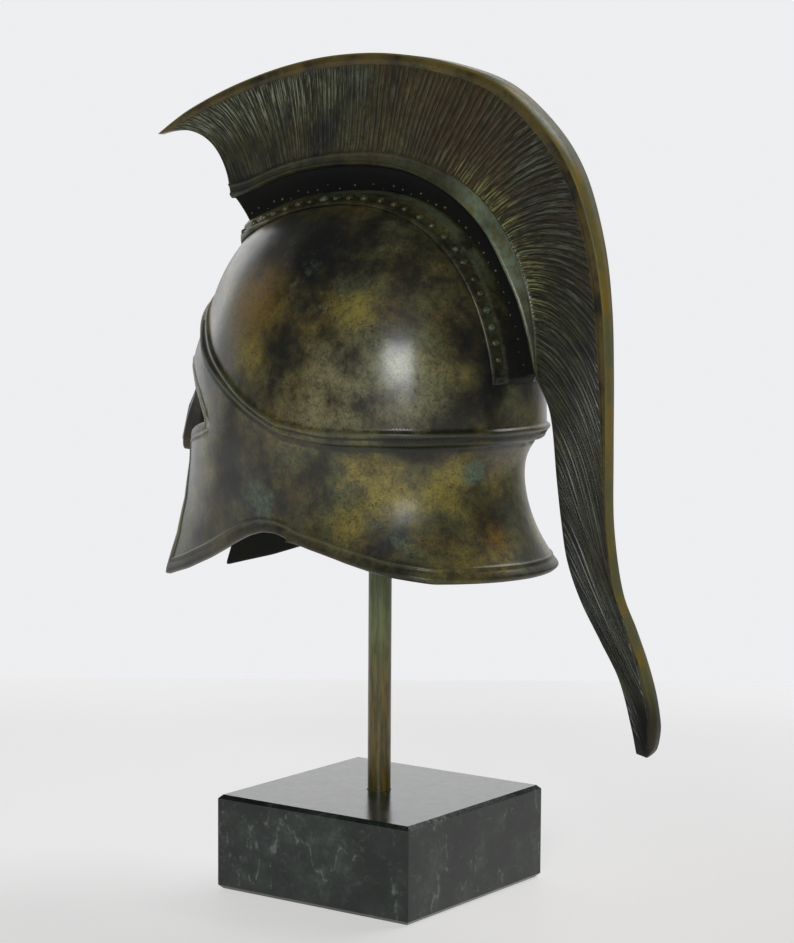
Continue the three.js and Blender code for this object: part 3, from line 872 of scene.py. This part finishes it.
# A curve through the controls, at places between 0 and 1
def guide(controls, u):
    place = np.clip(u, 0, 1) * lastControl
    i = np.minimum(np.floor(place).astype(int), lastControl)
    t = (place - i)[..., None]
    p0 = controls[np.maximum(i - 1, 0)]
    p1 = controls[i]
    p2 = controls[np.minimum(i + 1, lastControl)]
    p3 = controls[np.minimum(i + 2, lastControl)]
    v0, v1 = (p2 - p0) / 2, (p3 - p1) / 2
    cubic, square = 2 * p1 - 2 * p2 + v0 + v1, 3 * p2 - 3 * p1 - 2 * v0 - v1
    return cubic * t ** 3 + square * t ** 2 + v0 * t + p1


def sizeAt(u, column):
    return np.interp(u * lastControl, np.arange(lastControl + 1), crestSizes[:, column])


def crestPlane(u, distance):
    foot, rim = guide(footControls, u), guide(rimControls, u)
    line = rim - foot
    length = np.linalg.norm(line, axis=-1)
    q = distance / length
    bow = sizeAt(u, 2) * length * 4 * q * (1 - q)
    across = np.stack([line[..., 1], -line[..., 0]], -1) / length[..., None]
    return foot + line * q[..., None] + across * bow[..., None]


# Control point and width of the lower border in mm
borderRows = np.array([
    [0, 4.0], [3, 4.2], [6, 5.4], [8, 7.2], [10, 7.0], [11, 5.8], [12, 4.0], [13, 2.0], [14, 0.8],
])
borderWidths = np.interp(np.arange(lastControl + 1), borderRows[:, 0], borderRows[:, 1])


# Places of the strands: even steps along the middle of the crest, wider in the tail
def strandStarts():
    u = np.linspace(0, 1, 2000)
    middle = (guide(footControls, u) + guide(rimControls, u)) / 2
    pitch = mix(crest["strandPitch"], crest["tailPitch"], smooth(u[1:], 0.5, 0.7))
    count = np.concatenate([[0], np.cumsum(stepLengths(middle) / pitch)])
    strands = int(count[-1])
    widths = 1 + crest["strandSpread"] * chance.uniform(-1, 1, strands)
    edges = np.concatenate([[0], np.cumsum(widths)]) / widths.sum()
    number = np.linspace(0, strands, strands * crest["perStrand"] + 1)
    share = np.interp(number, np.arange(strands + 1), edges)
    return number, np.interp(share * count[-1], count, u)


# Length of the section, width of the rim and width of the border at places along the crest
def crestSection(place):
    length = np.linalg.norm(guide(rimControls, place) - guide(footControls, place), axis=-1)
    border = np.interp(place * lastControl, np.arange(lastControl + 1), borderWidths)
    return length, np.minimum(crest["rimBevel"], length * 0.2), np.minimum(border, length * 0.3)


# Zones across the crest: 0 is the lower border, 1 the hair and 2 the rim
def makeCrest():
    number, start = strandStarts()
    u = np.linspace(0, 1, 3000)
    rimLength = lengthSoFar(guide(rimControls, u))
    finish = np.interp(np.interp(start, u, rimLength) + sizeAt(start, 3), rimLength, u)
    finish[-1] = 1.0
    strand = np.floor(number).astype(int)
    groove = (np.cos(math.pi * (number % 1.0)) ** 2) ** 1.6
    strong = mix(0.5, 1.0, smooth(start, 0.3, 0.55))
    calm = 1 - smooth(start, 0.95, 0.985)
    step = calm * np.gradient(start) * crest["perStrand"]
    zones = [np.linspace(0, 1, crest[key], endpoint=False) for key in ("borderSteps", "hairSteps")]
    zones.append(crest["rimSteps"])
    middles, halves, flows, labels = [], [], [], []
    for zone, share in [(k, share) for k, shares in enumerate(zones) for share in shares]:
        q = (0.0, share, 1.0)[zone]
        place = start + (finish - start) * q ** crest["strandLean"]
        if zone == 1:
            sway = wander(number * 0.31, np.full(number.shape, q * 3.4), 3) * math.sin(math.pi * q)
            place = place + crest["strandSway"] * sway * step
        place = np.clip(place, 0, 1)
        length, edge, band = crestSection(place)
        rimHalf = sizeAt(place, 0) * crest["thickness"] / 2
        borderHalf = sizeAt(place, 1) * crest["borderThickness"] / 2
        proud = 1 - smooth(place, borderEnd - 0.08, borderEnd)
        hairHalf = mix(np.minimum(borderHalf, rimHalf), borderHalf * 0.78, proud)
        if zone == 0:
            away = share * band
            flat = mix(hairHalf, borderHalf, proud)
            inner = bump(away, 0.9, 0.8)
            outer = bump(away, band - 0.6, 0.55)
            body = flat - 0.6 * proud * (1 - np.maximum(inner, outer * 0.75))
            half = mix(borderHalf * 0.72, body, smooth(away, -0.3, 0.6))
        elif zone == 1:
            away = mix(band, length - edge, share)
            depth = 0.5 + 0.5 * np.sin(strand * 12.9898) * np.sin(strand * 4.31 + share * 5)
            relief = 0.28 - crest["strandDepth"] * groove * (0.35 + 0.75 * depth)
            slow = wander(number * 0.17, np.full(number.shape, share * 2.2), 11)
            fade = smooth(share, 0.0, 0.05) * (1 - smooth(share, 0.93, 1.0)) * calm
            half = mix(hairHalf, rimHalf * 0.87, share ** 0.85)
            half = half + (relief * strong + 0.14 * slow) * fade
        else:
            away = length - edge + edge * share
            half = mix(rimHalf * 0.87, rimHalf * 0.985, smooth(share, 0.0, 0.22))
            if share > 0.9:
                half = rimHalf * (0.965 if share > 0.97 else 0.99)
        middles.append(crestPlane(place, away))
        halves.append(half)
        flows.append((share * 0.1, 0.1 + share * 0.8, 0.9 + share * 0.1)[zone])
        labels.append(float(zone))
    middles, halves = np.stack(middles, 1), np.stack(halves, 1)
    left = np.stack([halves, middles[..., 0], middles[..., 1] + skull["level"]], -1)
    points = np.concatenate([left, left[:, ::-1] * [-1, 1, 1]], 1)
    rows, ring = points.shape[:2]
    across = np.tile(flows + flows[::-1], (rows, 1))
    flow = np.stack([np.repeat(number[:, None], ring, 1), across], -1)
    faces = gridFaces(rows, ring, True, True)
    for first, flip in ((0, False), ((rows - 1) * ring, True)):
        for k in range(ring // 2 - 1):
            quad = [first + k, first + k + 1, first + ring - 2 - k, first + ring - 1 - k]
            faces.append(quad[::-1] if flip else quad)
    values = {"zone": np.tile(labels + labels[::-1], rows)}
    return makeMesh("crestPlume", points.reshape(-1, 3), faces, flow.reshape(-1, 2), values)


plume = makeCrest()
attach(plume, "root")
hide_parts("crest_plume")
print("crest", len(plume.data.polygons))


crestTints = {
    "crown": (0.046, 0.029, 0.009),
    "strand": (0.265, 0.290, 0.205),
    "root": (0.260, 0.270, 0.095),
    "rimWarm": (0.200, 0.140, 0.022),
    "rimGreen": (0.110, 0.110, 0.045),
    "band": (0.105, 0.070, 0.014),
    "edge": (0.240, 0.190, 0.080),
    "borderDark": (0.030, 0.036, 0.024),
    "borderGold": (0.120, 0.115, 0.045),
    "borderTeal": (0.135, 0.180, 0.125),
}


# The flow map runs along the crest by strand, and across it from the foot to the rim
def crestFinish(parts):
    place, middle, small = parts["place"], parts["middle"], parts["small"]
    flow = place.node("ShaderNodeUVMap", uv_map="flow")
    across, side, height = flow.axis(1), place.axis(1), place.axis(2)
    zone = attribute(place, "zone")
    lines = flow.vector("MULTIPLY", (3.1, 2.4, 1.0)).noise(1.0, 3.0, 0.6)
    fibres = flow.vector("MULTIPLY", (5.3, 7.0, 1.0)).noise(1.0, 3.0, 0.7)
    wide = flow.vector("MULTIPLY", (0.6, 1.1, 1.0)).noise(1.0, 2.0, 0.5)
    hair = zone.near(1.0, 0.0, 0.6)
    tail = side.between(48.0, 60.0)
    groove = (flow.axis(0).maths("FRACT") - 0.5).maths("ABSOLUTE").between(0.3, 0.5) * hair
    crown = side.between(-15.0, 25.0) * height.between(190.0, 225.0) * hair
    colour = parts["colour"].tinted(crown * wide.between(0.3, 0.55) * 0.85, crestTints["crown"])
    colour = colour.tinted(tail * hair * 0.45, bronzeTints["black"])
    gaps = groove * (tail * 0.3 + 0.6) + (1.0 - fibres.between(0.36, 0.56)) * hair * 0.5
    colour = colour.tinted(gaps, bronzeTints["black"])
    pale = hair * (lines * 0.5 + fibres * 0.5).between(0.47, 0.62) * (1.0 - groove)
    front = 1.0 - side.between(-45.0, 5.0)
    tips = across.between(0.3, 0.8) * front * 0.85 + 0.12 + tail * 0.12
    colour = colour.tinted(pale * tips, crestTints["strand"])
    shoulder = side.between(22.0, 40.0) * height.between(180.0, 215.0)
    roots = pale * (1.0 - across.between(0.12, 0.42)) * shoulder
    colour = colour.tinted(roots * 0.9, crestTints["root"])
    outer = zone.between(1.5, 2.0)
    rim = outer * across.between(0.975, 1.0)
    rimTint = blend(crestTints["rimWarm"], crestTints["rimGreen"], middle.between(0.35, 0.6))
    colour = colour.tinted(rim * 0.85, rimTint)
    band = zone.between(1.2, 1.8) * (1.0 - rim)
    colour = colour.tinted(band * middle.between(0.3, 0.6) * 0.6, crestTints["band"])
    colour = colour.tinted(outer * across.near(0.99, 0.002, 0.006) * 0.25, crestTints["edge"])
    bead = 1.0 - zone.between(0.0, 0.5)
    teal = blend(crestTints["borderGold"], crestTints["borderTeal"], small.between(0.35, 0.6))
    bloom = shoulder * side.between(64.0, 52.0) * (middle.between(0.3, 0.7) * 0.6 + 0.15)
    colour = colour.tinted(bead * (bloom + 0.3), blend(crestTints["borderDark"], teal, shoulder))
    low = height.between(84.0, 68.0)
    parts["colour"] = colour.tinted(low * 0.85, bronzeTints["black"])
    parts["height"] = parts["height"] * 0.8 + lines * 1.2 * hair + fibres * 0.9 * hair
    parts["rough"] = parts["rough"] + hair * 0.1
    wax = parts["wax"] * (1.0 - hair * (0.65 - tail * 0.1)) * (1.0 - rim * 0.75)
    parts["wax"] = wax * (1.0 - band * 0.6) * (1.0 - bead * 0.5)


crestMetal = bronze("crestBronze", 0.3, 0.35, 0.2, relief=0.12, finish=crestFinish, shine=0.2)
plume.data.materials.append(crestMetal)


# Studded strip that saddles the skull

seat = {
    "start": 47.5,
    "end": 170.0,
    "lean": 4.0,
    "leanRun": 8.0,
    "ramp": 20.0,
    "halfWidth": 16.4,
    "thickness": 2.0,
    "frontRise": 3.4,
    "gap": 0.3,
    "studRadius": 1.4,
    "studPitch": 5.8,
    "studPlace": 0.745,
    "studMargin": 4.0,
    "studJitter": 0.7,
    "bars": [126.0, 132.0, 137.5, 143.0, 148.5, 168.4],
}

# Turn and share of the half width
seatWidths = np.array([[47.5, 0.5], [56, 0.76], [68, 0.97], [110, 1], [140, 0.92], [170, 0.86]])


# How far the skull falls away from its centre line, beside the ridge
def sideFall(angle, x):
    start, normal = ridgePoint(angle), ridgeNormal(angle)
    low, high = np.zeros(angle.shape), np.full(angle.shape, 25.0)
    for _ in range(26):
        depth = (low + high) / 2
        y, z = (start[..., k] - normal[..., k] * depth for k in (0, 1))
        share = np.clip(z / skull["rise"], 0, 1)
        ahead = y < skull["centre"]
        front = skull["front"] * taper(share, skull["frontPower"])
        rear = skull["rear"] * taper(share, skull["rearPower"])
        reach = np.maximum(np.where(ahead, front, rear), 1e-5)
        width = np.maximum(skull["halfWidth"] * taper(share, skull["widthPower"]), 1e-5)
        n = np.where(ahead, skull["frontSection"], skull["rearSection"])
        out = np.abs(x / width) ** n + np.abs((y - skull["centre"]) / reach) ** n > 1
        out |= z >= skull["rise"]
        low, high = np.where(out, depth, low), np.where(out, high, depth)
    return high


def overSkull(angle, x, height):
    angle, x, height = np.broadcast_arrays(np.asarray(angle, float), x, height)
    start, normal = ridgePoint(angle), ridgeNormal(angle)
    y, z = (start[..., k] + normal[..., k] * (height - sideFall(angle, x)) for k in (0, 1))
    return np.stack([x, y, z + skull["level"]], -1)


def seatHeight(angle):
    front = 1 - smooth(angle, seat["start"], seat["start"] + seat["ramp"])
    return seat["thickness"] + seat["frontRise"] * front


def ridgeSteps():
    angle = np.linspace(seat["start"], seat["end"], 1200)
    return angle, lengthSoFar(ridgePoint(angle))


def seatHalf(angle):
    return np.interp(angle, seatWidths[:, 0], seatWidths[:, 1]) * seat["halfWidth"]


# Side place and height share: two raised lines with the channel of studs between them
seatProfile = np.array([
    [-1, 0], [-1, 0.2], [-0.985, 0.34], [-0.965, 0.44], [-0.94, 0.48], [-0.915, 0.46], [-0.89, 0.4],
    [-0.86, 0.35], [-0.8, 0.32], [-0.74, 0.32], [-0.66, 0.36], [-0.62, 0.46], [-0.595, 0.64],
    [-0.57, 0.76], [-0.545, 0.82], [-0.51, 0.82], [-0.45, 0.84], [-0.3, 0.95], [-0.15, 1], [0, 1],
])


def makeSeat():
    foot = np.stack([np.linspace(0.92, -0.92, 17), np.zeros(17)], 1)
    section = np.vstack([seatProfile, seatProfile[-2::-1] * [-1, 1], foot])
    angles = np.linspace(seat["start"], seat["end"], 420)
    along, length = ridgeSteps()
    place = np.interp(angles, along, length)
    rounding = 1 - smooth(length[-1] - place, 0, 1.6)
    barLine = np.max([bump(place, np.interp(a, along, length), 0.75) for a in seat["bars"]], axis=0)
    lean = seat["lean"] * (1 - smooth(angles, seat["start"], seat["start"] + seat["leanRun"]))
    rows = []
    for side, share in section:
        level = np.full(len(angles), float(share))
        if 0.3 < share < 0.52 and 0.6 < abs(side) < 0.92:
            level = np.maximum(level, 0.68 * barLine)
        level = level * (1 - 0.6 * rounding)
        x = side * seatHalf(angles)
        rows.append(overSkull(angles + lean * share, x, seat["gap"] + level * seatHeight(angles)))
    points = np.stack(rows, 1)
    count = points.shape[1]
    faces = gridFaces(len(angles), count, True)
    flat = points.reshape(-1, 3)
    ends = points[[0, -1]].mean(1) * [0, 1, 1]
    total, last = len(flat), len(flat) - count
    for c in range(count):
        d = (c + 1) % count
        faces += [[d, c, total], [last + c, last + d, total + 1]]
    return makeMesh("crestSeat", np.vstack([flat, ends]), faces)


seatPiece = makeSeat()
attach(seatPiece, "root")
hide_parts("crest_seat")


def seatFinish(parts):
    place = parts["place"]
    side, height = place.axis(0).maths("ABSOLUTE"), place.axis(2)
    # painted shade: the middle of the strip at the back end is tinted nearly black, in the recess
    # under the crest's border
    gap = (1.0 - side.between(7.0, 8.5)) * height.between(203.0, 188.0)
    band = side.near(6.5, 1.5, 3.0) * height.between(205.0, 222.0)
    bloom = band * parts["middle"].between(0.3, 0.6)
    colour = parts["colour"].tinted(bloom * 0.7, (0.110, 0.135, 0.080))
    parts["colour"] = colour.tinted(gap * 0.9, bronzeTints["black"])
    parts["rough"] = parts["rough"] + gap * 0.3
    parts["wax"] = parts["wax"] * (1.0 - gap * 0.9) * 0.5


seatMetal = bronze("stripBronze", 0.35, 0.6, 0.2, False, 0.22, seatFinish, 0.2)
seatPiece.data.materials.append(seatMetal)
print("seat", len(seatPiece.data.polygons))


# Points with normals that carry repeated shapes
def makePoints(name, points, normals):
    mesh = bpy.data.meshes.new(name)
    mesh.from_pydata((np.asarray(points) / 1000).tolist(), [], [])
    layer = mesh.attributes.new("facing", "FLOAT_VECTOR", "POINT")
    layer.data.foreach_set("vector", np.asarray(normals, float).ravel())
    piece = bpy.data.objects.new(name, mesh)
    bpy.context.scene.collection.objects.link(piece)
    return piece


# Sets a low dome on every point, with a little change in size, and leaves a plain mesh
def scatterDomes(name, points, normals, radius, flatness, across, material, seed):
    carrier = makePoints(name, points, normals)
    group = bpy.data.node_groups.new(name + "Rule", "GeometryNodeTree")
    face = group.interface
    face.new_socket("Geometry", in_out="INPUT", socket_type="NodeSocketGeometry")
    sizes = {"Radius": radius / 1000, "Flatness": flatness, "Across": across, "Spread": 0.24}
    keys = {}
    for label in sizes:
        keys[label] = face.new_socket(label, in_out="INPUT", socket_type="NodeSocketFloat").identifier
    seedKey = face.new_socket("Seed", in_out="INPUT", socket_type="NodeSocketInt").identifier
    face.new_socket("Geometry", in_out="OUTPUT", socket_type="NodeSocketGeometry")
    entry = group.nodes.new("NodeGroupInput")
    geometry, size, flat, wide, change, chosen = (Wire(group, entry.outputs[k]) for k in range(6))
    dome = geometry.node("GeometryNodeMeshUVSphere", ("Segments", 10), ("Rings", 6), ("Radius", size))
    shape = geometry.node("ShaderNodeCombineXYZ", (0, wide), (1, 1.0), (2, flat))
    dome = dome.node("GeometryNodeTransform", ("Geometry", dome), ("Scale", shape))
    kind = {"data_type": "FLOAT_VECTOR"}
    normal = geometry.node("GeometryNodeInputNamedAttribute", ("Name", "facing"), **kind)
    turn = geometry.node("FunctionNodeAlignRotationToVector", ("Vector", normal), axis="Z")
    given = [("Seed", chosen), (0, 1.0 - change), (1, 1.0 + change)]
    grade = geometry.node("FunctionNodeRandomValue", *given, data_type="FLOAT")
    given = [("Points", geometry), ("Instance", dome), ("Rotation", turn), ("Scale", grade)]
    placed = geometry.node("GeometryNodeInstanceOnPoints", *given)
    real = placed.node("GeometryNodeRealizeInstances", (0, placed))
    soft = real.node("GeometryNodeSetShadeSmooth", ("Geometry", real))
    dressed = soft.node("GeometryNodeSetMaterial", ("Geometry", soft), ("Material", material))
    leave = group.nodes.new("NodeGroupOutput")
    group.links.new(dressed.socket, leave.inputs[0])
    modifier = carrier.modifiers.new("rule", "NODES")
    modifier.node_group = group
    for label, value in sizes.items():
        modifier[keys[label]] = value
    modifier[seedKey] = seed
    bpy.context.view_layer.update()
    graph = bpy.context.evaluated_depsgraph_get()
    mesh = bpy.data.meshes.new_from_object(carrier.evaluated_get(graph), depsgraph=graph)
    carrier.modifiers.clear()
    carrier.data = mesh
    return carrier


def studPlaces():
    angle, length = ridgeSteps()
    marks = np.arange(seat["studMargin"], length[-1] - seat["studMargin"], seat["studPitch"])
    marks = marks + seat["studJitter"] * chance.uniform(-1, 1, len(marks))
    at = np.interp(marks, length, angle)
    points, normals = [], []
    level = seat["gap"] + 0.5 * seatHeight(at)
    for side in (-1, 1):
        x = side * seatHalf(at) * seat["studPlace"]
        base = overSkull(at, x, seat["gap"] + 0.36 * seatHeight(at))
        across = overSkull(at, x + side * 0.8, level) - overSkull(at, x - side * 0.8, level)
        ahead = overSkull(at + 0.4, x, level) - base
        normal = unit(np.cross(unit(across * side), unit(ahead)))
        normal *= np.sign((normal * [0, 0, 1]).sum(1, keepdims=True) + 1e-3 + normal[:, 1:2] * 0.5)
        points.append(base)
        normals.append(normal)
    return np.vstack(points), np.vstack(normals)


studPoints, studNormals = studPlaces()
studMetal = bronze("studBronze", 0.0, 1.5, 0.3, False, 0.2)
studShape = (seat["studRadius"], 0.85, 1.45)
studs = scatterDomes("crestStuds", studPoints, studNormals, *studShape, studMetal, 4)
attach(studs, "root")
print("studs", len(studs.data.polygons))


# Riser between the strip and the crest, with small dots along its sides

riser = {
    "thickness": 5.6,
    "start": 52.5,
    "end": 168.4,
    "dotRadius": 0.42,
    "dotPitch": 3.1,
    "waist": [(1, 0), (0.93, 0.12), (0.84, 0.28), (0.8, 0.5), (0.82, 0.7), (0.9, 0.88), (1, 1)],
}


def riserHalf(angle):
    return riser["thickness"] / 2 * mix(1, 0.62, smooth(angle, riser["start"] + 70, riser["end"]))


def riserPoint(angle, side, share):
    standOff = np.interp(angle, mountedRows[:, 0], mountedRows[:, 1]) * crest["standOff"]
    level = mix(seatHeight(angle) - seat["gap"], standOff + 2 * seat["gap"], share)
    start, normal = ridgePoint(angle), ridgeNormal(angle)
    y = start[:, 0] + normal[:, 0] * level
    z = start[:, 1] + normal[:, 1] * level + skull["level"]
    return np.stack([side * riserHalf(angle), y, z], -1)


def makeRiser():
    angles = np.linspace(riser["start"], riser["end"], 200)
    waist = riser["waist"]
    section = waist + [(-s, h) for s, h in waist[::-1]]
    points = np.stack([riserPoint(angles, s, h) for s, h in section], 1)
    count = len(section)
    faces = gridFaces(len(angles), count, True, True)
    last = (len(angles) - 1) * count
    for k in range(len(waist) - 1):
        quad = [k, k + 1, count - 2 - k, count - 1 - k]
        faces.append(quad)
        faces.append([last + i for i in quad[::-1]])
    return makeMesh("crestRiser", points.reshape(-1, 3), faces)


# dark patina and painted shade: the riser's sides are tinted nearly black
def riserFinish(parts):
    parts["colour"] = parts["colour"].tinted(parts["small"] * 0.2 + 0.75, (0.006, 0.006, 0.0065))
    parts["rough"] = parts["rough"] + 0.25
    parts["wax"] = parts["wax"] * 0.1


riserPiece = makeRiser()
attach(riserPiece, "root")
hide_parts("crest_riser")
riserMetal = bronze("darkBronze", 0.8, 0.0, 0.0, False, finish=riserFinish, shine=0.08)
riserPiece.data.materials.append(riserMetal)

dotAngles = np.arange(riser["start"] + 2, riser["end"] - 2, riser["dotPitch"])
dotShares = 0.2 + 0.1 * np.sin(np.arange(len(dotAngles)) * 2.3)
dotPoints = np.vstack([riserPoint(dotAngles, side * 0.86, dotShares) for side in (-1, 1)])
dotNormals = np.repeat([[-1.0, 0, 0], [1.0, 0, 0]], len(dotAngles), axis=0)
dots = scatterDomes("riserDots", dotPoints, dotNormals, riser["dotRadius"], 0.7, 1.0, studMetal, 9)
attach(dots, "root")
print("riser", len(riserPiece.data.polygons), len(dots.data.polygons))


# Rod

rod = {
    "radius": 4.0,
    "bevel": 0.4,
    "foot": 21.0,
    "top": 232.3,
    "forward": 1.0,
    "sides": 64,
    "rings": 30,
}


def makeRod():
    turns = np.arange(rod["sides"]) * 2 * math.pi / rod["sides"]
    radius, foot, top = rod["radius"], rod["foot"], rod["top"]
    profile = [(radius - rod["bevel"], foot), (radius, foot + rod["bevel"])]
    profile += [(radius, z) for z in np.linspace(foot + 1, top - 0.5, rod["rings"])]
    profile.append((radius - 0.3, top))
    points = []
    for reach, z in profile:
        x, y = reach * np.cos(turns), reach * np.sin(turns) - rod["forward"]
        points.append(np.stack([x, y, np.full(turns.shape, z)], 1))
    last = (len(profile) - 1) * rod["sides"]
    faces = gridFaces(len(profile), rod["sides"], True)
    faces.append(list(range(rod["sides"]))[::-1])
    faces.append([last + i for i in range(rod["sides"])])
    return makeMesh("supportRod", np.vstack(points), faces)


rodTints = {
    "brown": (0.060, 0.055, 0.015),
    "gold": (0.150, 0.095, 0.015),
    "green": (0.078, 0.095, 0.030),
    "pale": (0.120, 0.150, 0.055),
    "mark": (0.030, 0.030, 0.014),
}


def rodFinish(parts):
    place = parts["place"]
    streaks = place.noise(1.6, 3.0, 0.6, (9.0, 0.0, 0.0), (1.0, 1.0, 0.12))
    upper = (place.axis(2) + (streaks - 0.5) * 40.0).between(62.0, 104.0)
    lower = blend(rodTints["brown"], rodTints["gold"], streaks.between(0.42, 0.62))
    higher = blend(rodTints["green"], rodTints["pale"], streaks.between(0.4, 0.6))
    marks = (parts["small"] * 0.5 + streaks * 0.5).between(0.42, 0.34)
    parts["colour"] = blend(lower, higher, upper).tinted(marks * 0.5, rodTints["mark"])
    parts["height"] = parts["height"] * 0.5 + streaks * 0.5


rodPiece = makeRod()
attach(rodPiece, "root")
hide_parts("support_rod")
rodPiece.data.materials.append(bronze("rodBronze", patches=False, relief=0.06, finish=rodFinish))


# Polished green marble
marbleTints = {
    "dark": (0.007, 0.010, 0.008),
    "green": (0.022, 0.030, 0.024),
    "cloud": (0.060, 0.080, 0.064),
    "thread": (0.10, 0.12, 0.10),
    "vein": (0.20, 0.225, 0.20),
}


def marble():
    material, shader, place = newMaterial("greenMarble", {"IOR": 1.46})
    warp = place.noise(22.0, 4.0, 0.6, (4.0, 9.0, 2.0))
    cloud = place.noise(16.0, 6.0, 0.68, (30.0, 3.0, 12.0))
    fine = place.noise(3.0, 5.0, 0.7, (8.0, 1.0, 44.0))
    moved = warp.node("ShaderNodeCombineXYZ", (0, warp * 9.0), (1, warp * 7.0), (2, warp * 8.0))
    shifted = place.vector("ADD", moved)
    first = shifted.noise(20.0, 3.0, 0.5, (3.0, 50.0, 8.0), (1.0, 1.0, 0.35))
    second = shifted.noise(15.0, 3.0, 0.55, (90.0, 5.0, 38.0), (0.55, 0.55, 1.5))
    colour = blend(marbleTints["dark"], marbleTints["green"], cloud.between(0.35, 0.65))
    mist = (cloud * 0.6 + fine * 0.4).between(0.5, 0.68)
    thread = second.near(0.5, 0.0, 0.02) * fine.between(0.42, 0.66)
    vein = first.near(0.5, 0.0, 0.012) * (cloud + fine).between(0.95, 1.15)
    colour = colour.tinted(mist * 0.7, marbleTints["cloud"])
    colour = colour.tinted(thread * 0.3, marbleTints["thread"])
    colour = colour.tinted(vein * 0.45, marbleTints["vein"])
    rough = 0.09 + cloud * 0.1 + fine * 0.12
    connect(shader, colour=colour, roughness=rough, normal=surfaceBump(fine + cloud, 0.05))
    return material


for piece in list(bpy.data.objects):
    if piece.name == "marble_base":
        piece.data.materials.clear()
        piece.data.materials.append(marble())
print("materials ready")


# Floor with a straight rear edge across the view, and a soft pale room

view = {
    "place": Vector((0.68819, 0.49867, 0.22366)),
    "aim": Vector((-0.80938, -0.57966, -0.09433)).normalized(),
    "roll": math.radians(0.35),
    "lens": 95.44,
    "sensor": 36.0,
}

# Steps away from the camera and reach to each side in mm
floorSizes = {
    "steps": [-3000, -600, -200, 0, 200, 330, 395],
    "reach": 3000,
    "sink": 0.02,
}


def makeFloor():
    ahead = Vector((view["aim"].x, view["aim"].y, 0)).normalized()
    side = Vector((ahead.y, -ahead.x, 0))
    points = []
    for step in floorSizes["steps"]:
        for across in (-floorSizes["reach"], floorSizes["reach"]):
            corner = ahead * step + side * across
            points.append((corner.x, corner.y, -floorSizes["sink"]))
    rows = range(0, len(points) - 2, 2)
    floor = makeMesh("floor", points, [[k, k + 1, k + 3, k + 2] for k in rows])
    glow = {"Emission Color": (1.0, 0.99, 0.98, 1.0), "Emission Strength": 0.5}
    material, shader, place = newMaterial("paleFloor", {"Specular IOR Level": 0.2, **glow})
    grain = place.noise(3.0, 2.0, 0.5)
    depth = place.vector("DOT_PRODUCT", tuple(ahead), out="Value")
    across = place.vector("DOT_PRODUCT", tuple(side), out="Value").between(-80.0, 160.0)
    # painted shade and light: the floor is darker towards the right and lighter towards its far edge
    near = blend((0.47, 0.465, 0.46), (0.30, 0.285, 0.27), across)
    colour = blend(near, (0.43, 0.435, 0.45), (depth + (grain - 0.5) * 4.0).between(-150.0, 390.0))
    colour = colour.tinted(depth.between(250.0, 395.0), (0.520, 0.523, 0.530))
    connect(shader, colour=colour, roughness=0.6 + grain * 0.1, normal=surfaceBump(grain, 0.01))
    floor.data.materials.append(material)
    return floor


makeFloor()


def addWorld():
    world = bpy.data.worlds.new("room")
    world.use_nodes = True
    tree = world.node_tree
    background = tree.nodes["Background"]
    source = Wire(tree, tree.nodes.new("ShaderNodeTexCoord").outputs["Generated"])
    away = source.vector("DOT_PRODUCT", (-0.81, -0.58, 0.0), out="Value")
    height = source.axis(2)
    share = away.between(0.54, 0.93) * (1.0 - height.between(0.25, 0.7))
    wall = blend((0.855, 0.86, 0.875), (1.5, 1.5, 1.52), height.between(0.1, 0.17))
    colour = blend((0.06, 0.06, 0.063), wall, share)
    tree.links.new(colour.socket, background.inputs["Color"])
    background.inputs["Strength"].default_value = 1.0
    bpy.context.scene.world = world


def addLight(name, place, width, depth, power, colour):
    data = bpy.data.lights.new(name, "AREA")
    data.shape = "RECTANGLE"
    data.size, data.size_y = width, depth
    data.energy = power
    data.color = colour
    lamp = bpy.data.objects.new(name, data)
    lamp.location = place
    lamp.rotation_euler = (Vector(lightTarget) - Vector(place)).to_track_quat("-Z", "Y").to_euler()
    bpy.context.scene.collection.objects.link(lamp)


# Place, width, depth, power and colour, all turned to the middle of the helmet
lightTarget = (0.0, 0.0, 0.16)
lights = {
    "windowLight": ((1.28, 0.74, 0.64), 0.46, 0.42, 11.0, (0.95, 0.98, 1.0)),
    "sideLight": ((-0.22, -1.3, 0.42), 1.0, 0.9, 2.0, (0.97, 0.99, 1.0)),
    "skyLight": ((-1.3, 0.4, 1.8), 1.2, 1.2, 22.0, (0.98, 0.99, 1.0)),
}

addWorld()
for name, settings in lights.items():
    addLight(name, *settings)

camera = bpy.data.cameras.new("photoCamera")
camera.lens = view["lens"]
camera.sensor_width = view["sensor"]
camera.clip_start, camera.clip_end = 0.01, 50.0
cameraPiece = bpy.data.objects.new("photoCamera", camera)
turned = Matrix.Rotation(view["roll"], 3, "Z").to_quaternion()
cameraPiece.rotation_mode = "QUATERNION"
cameraPiece.rotation_quaternion = view["aim"].to_track_quat("-Z", "Y") @ turned
cameraPiece.location = view["place"]
bpy.context.scene.collection.objects.link(cameraPiece)
bpy.context.scene.camera = cameraPiece
bpy.context.scene.view_settings.view_transform = "Standard"
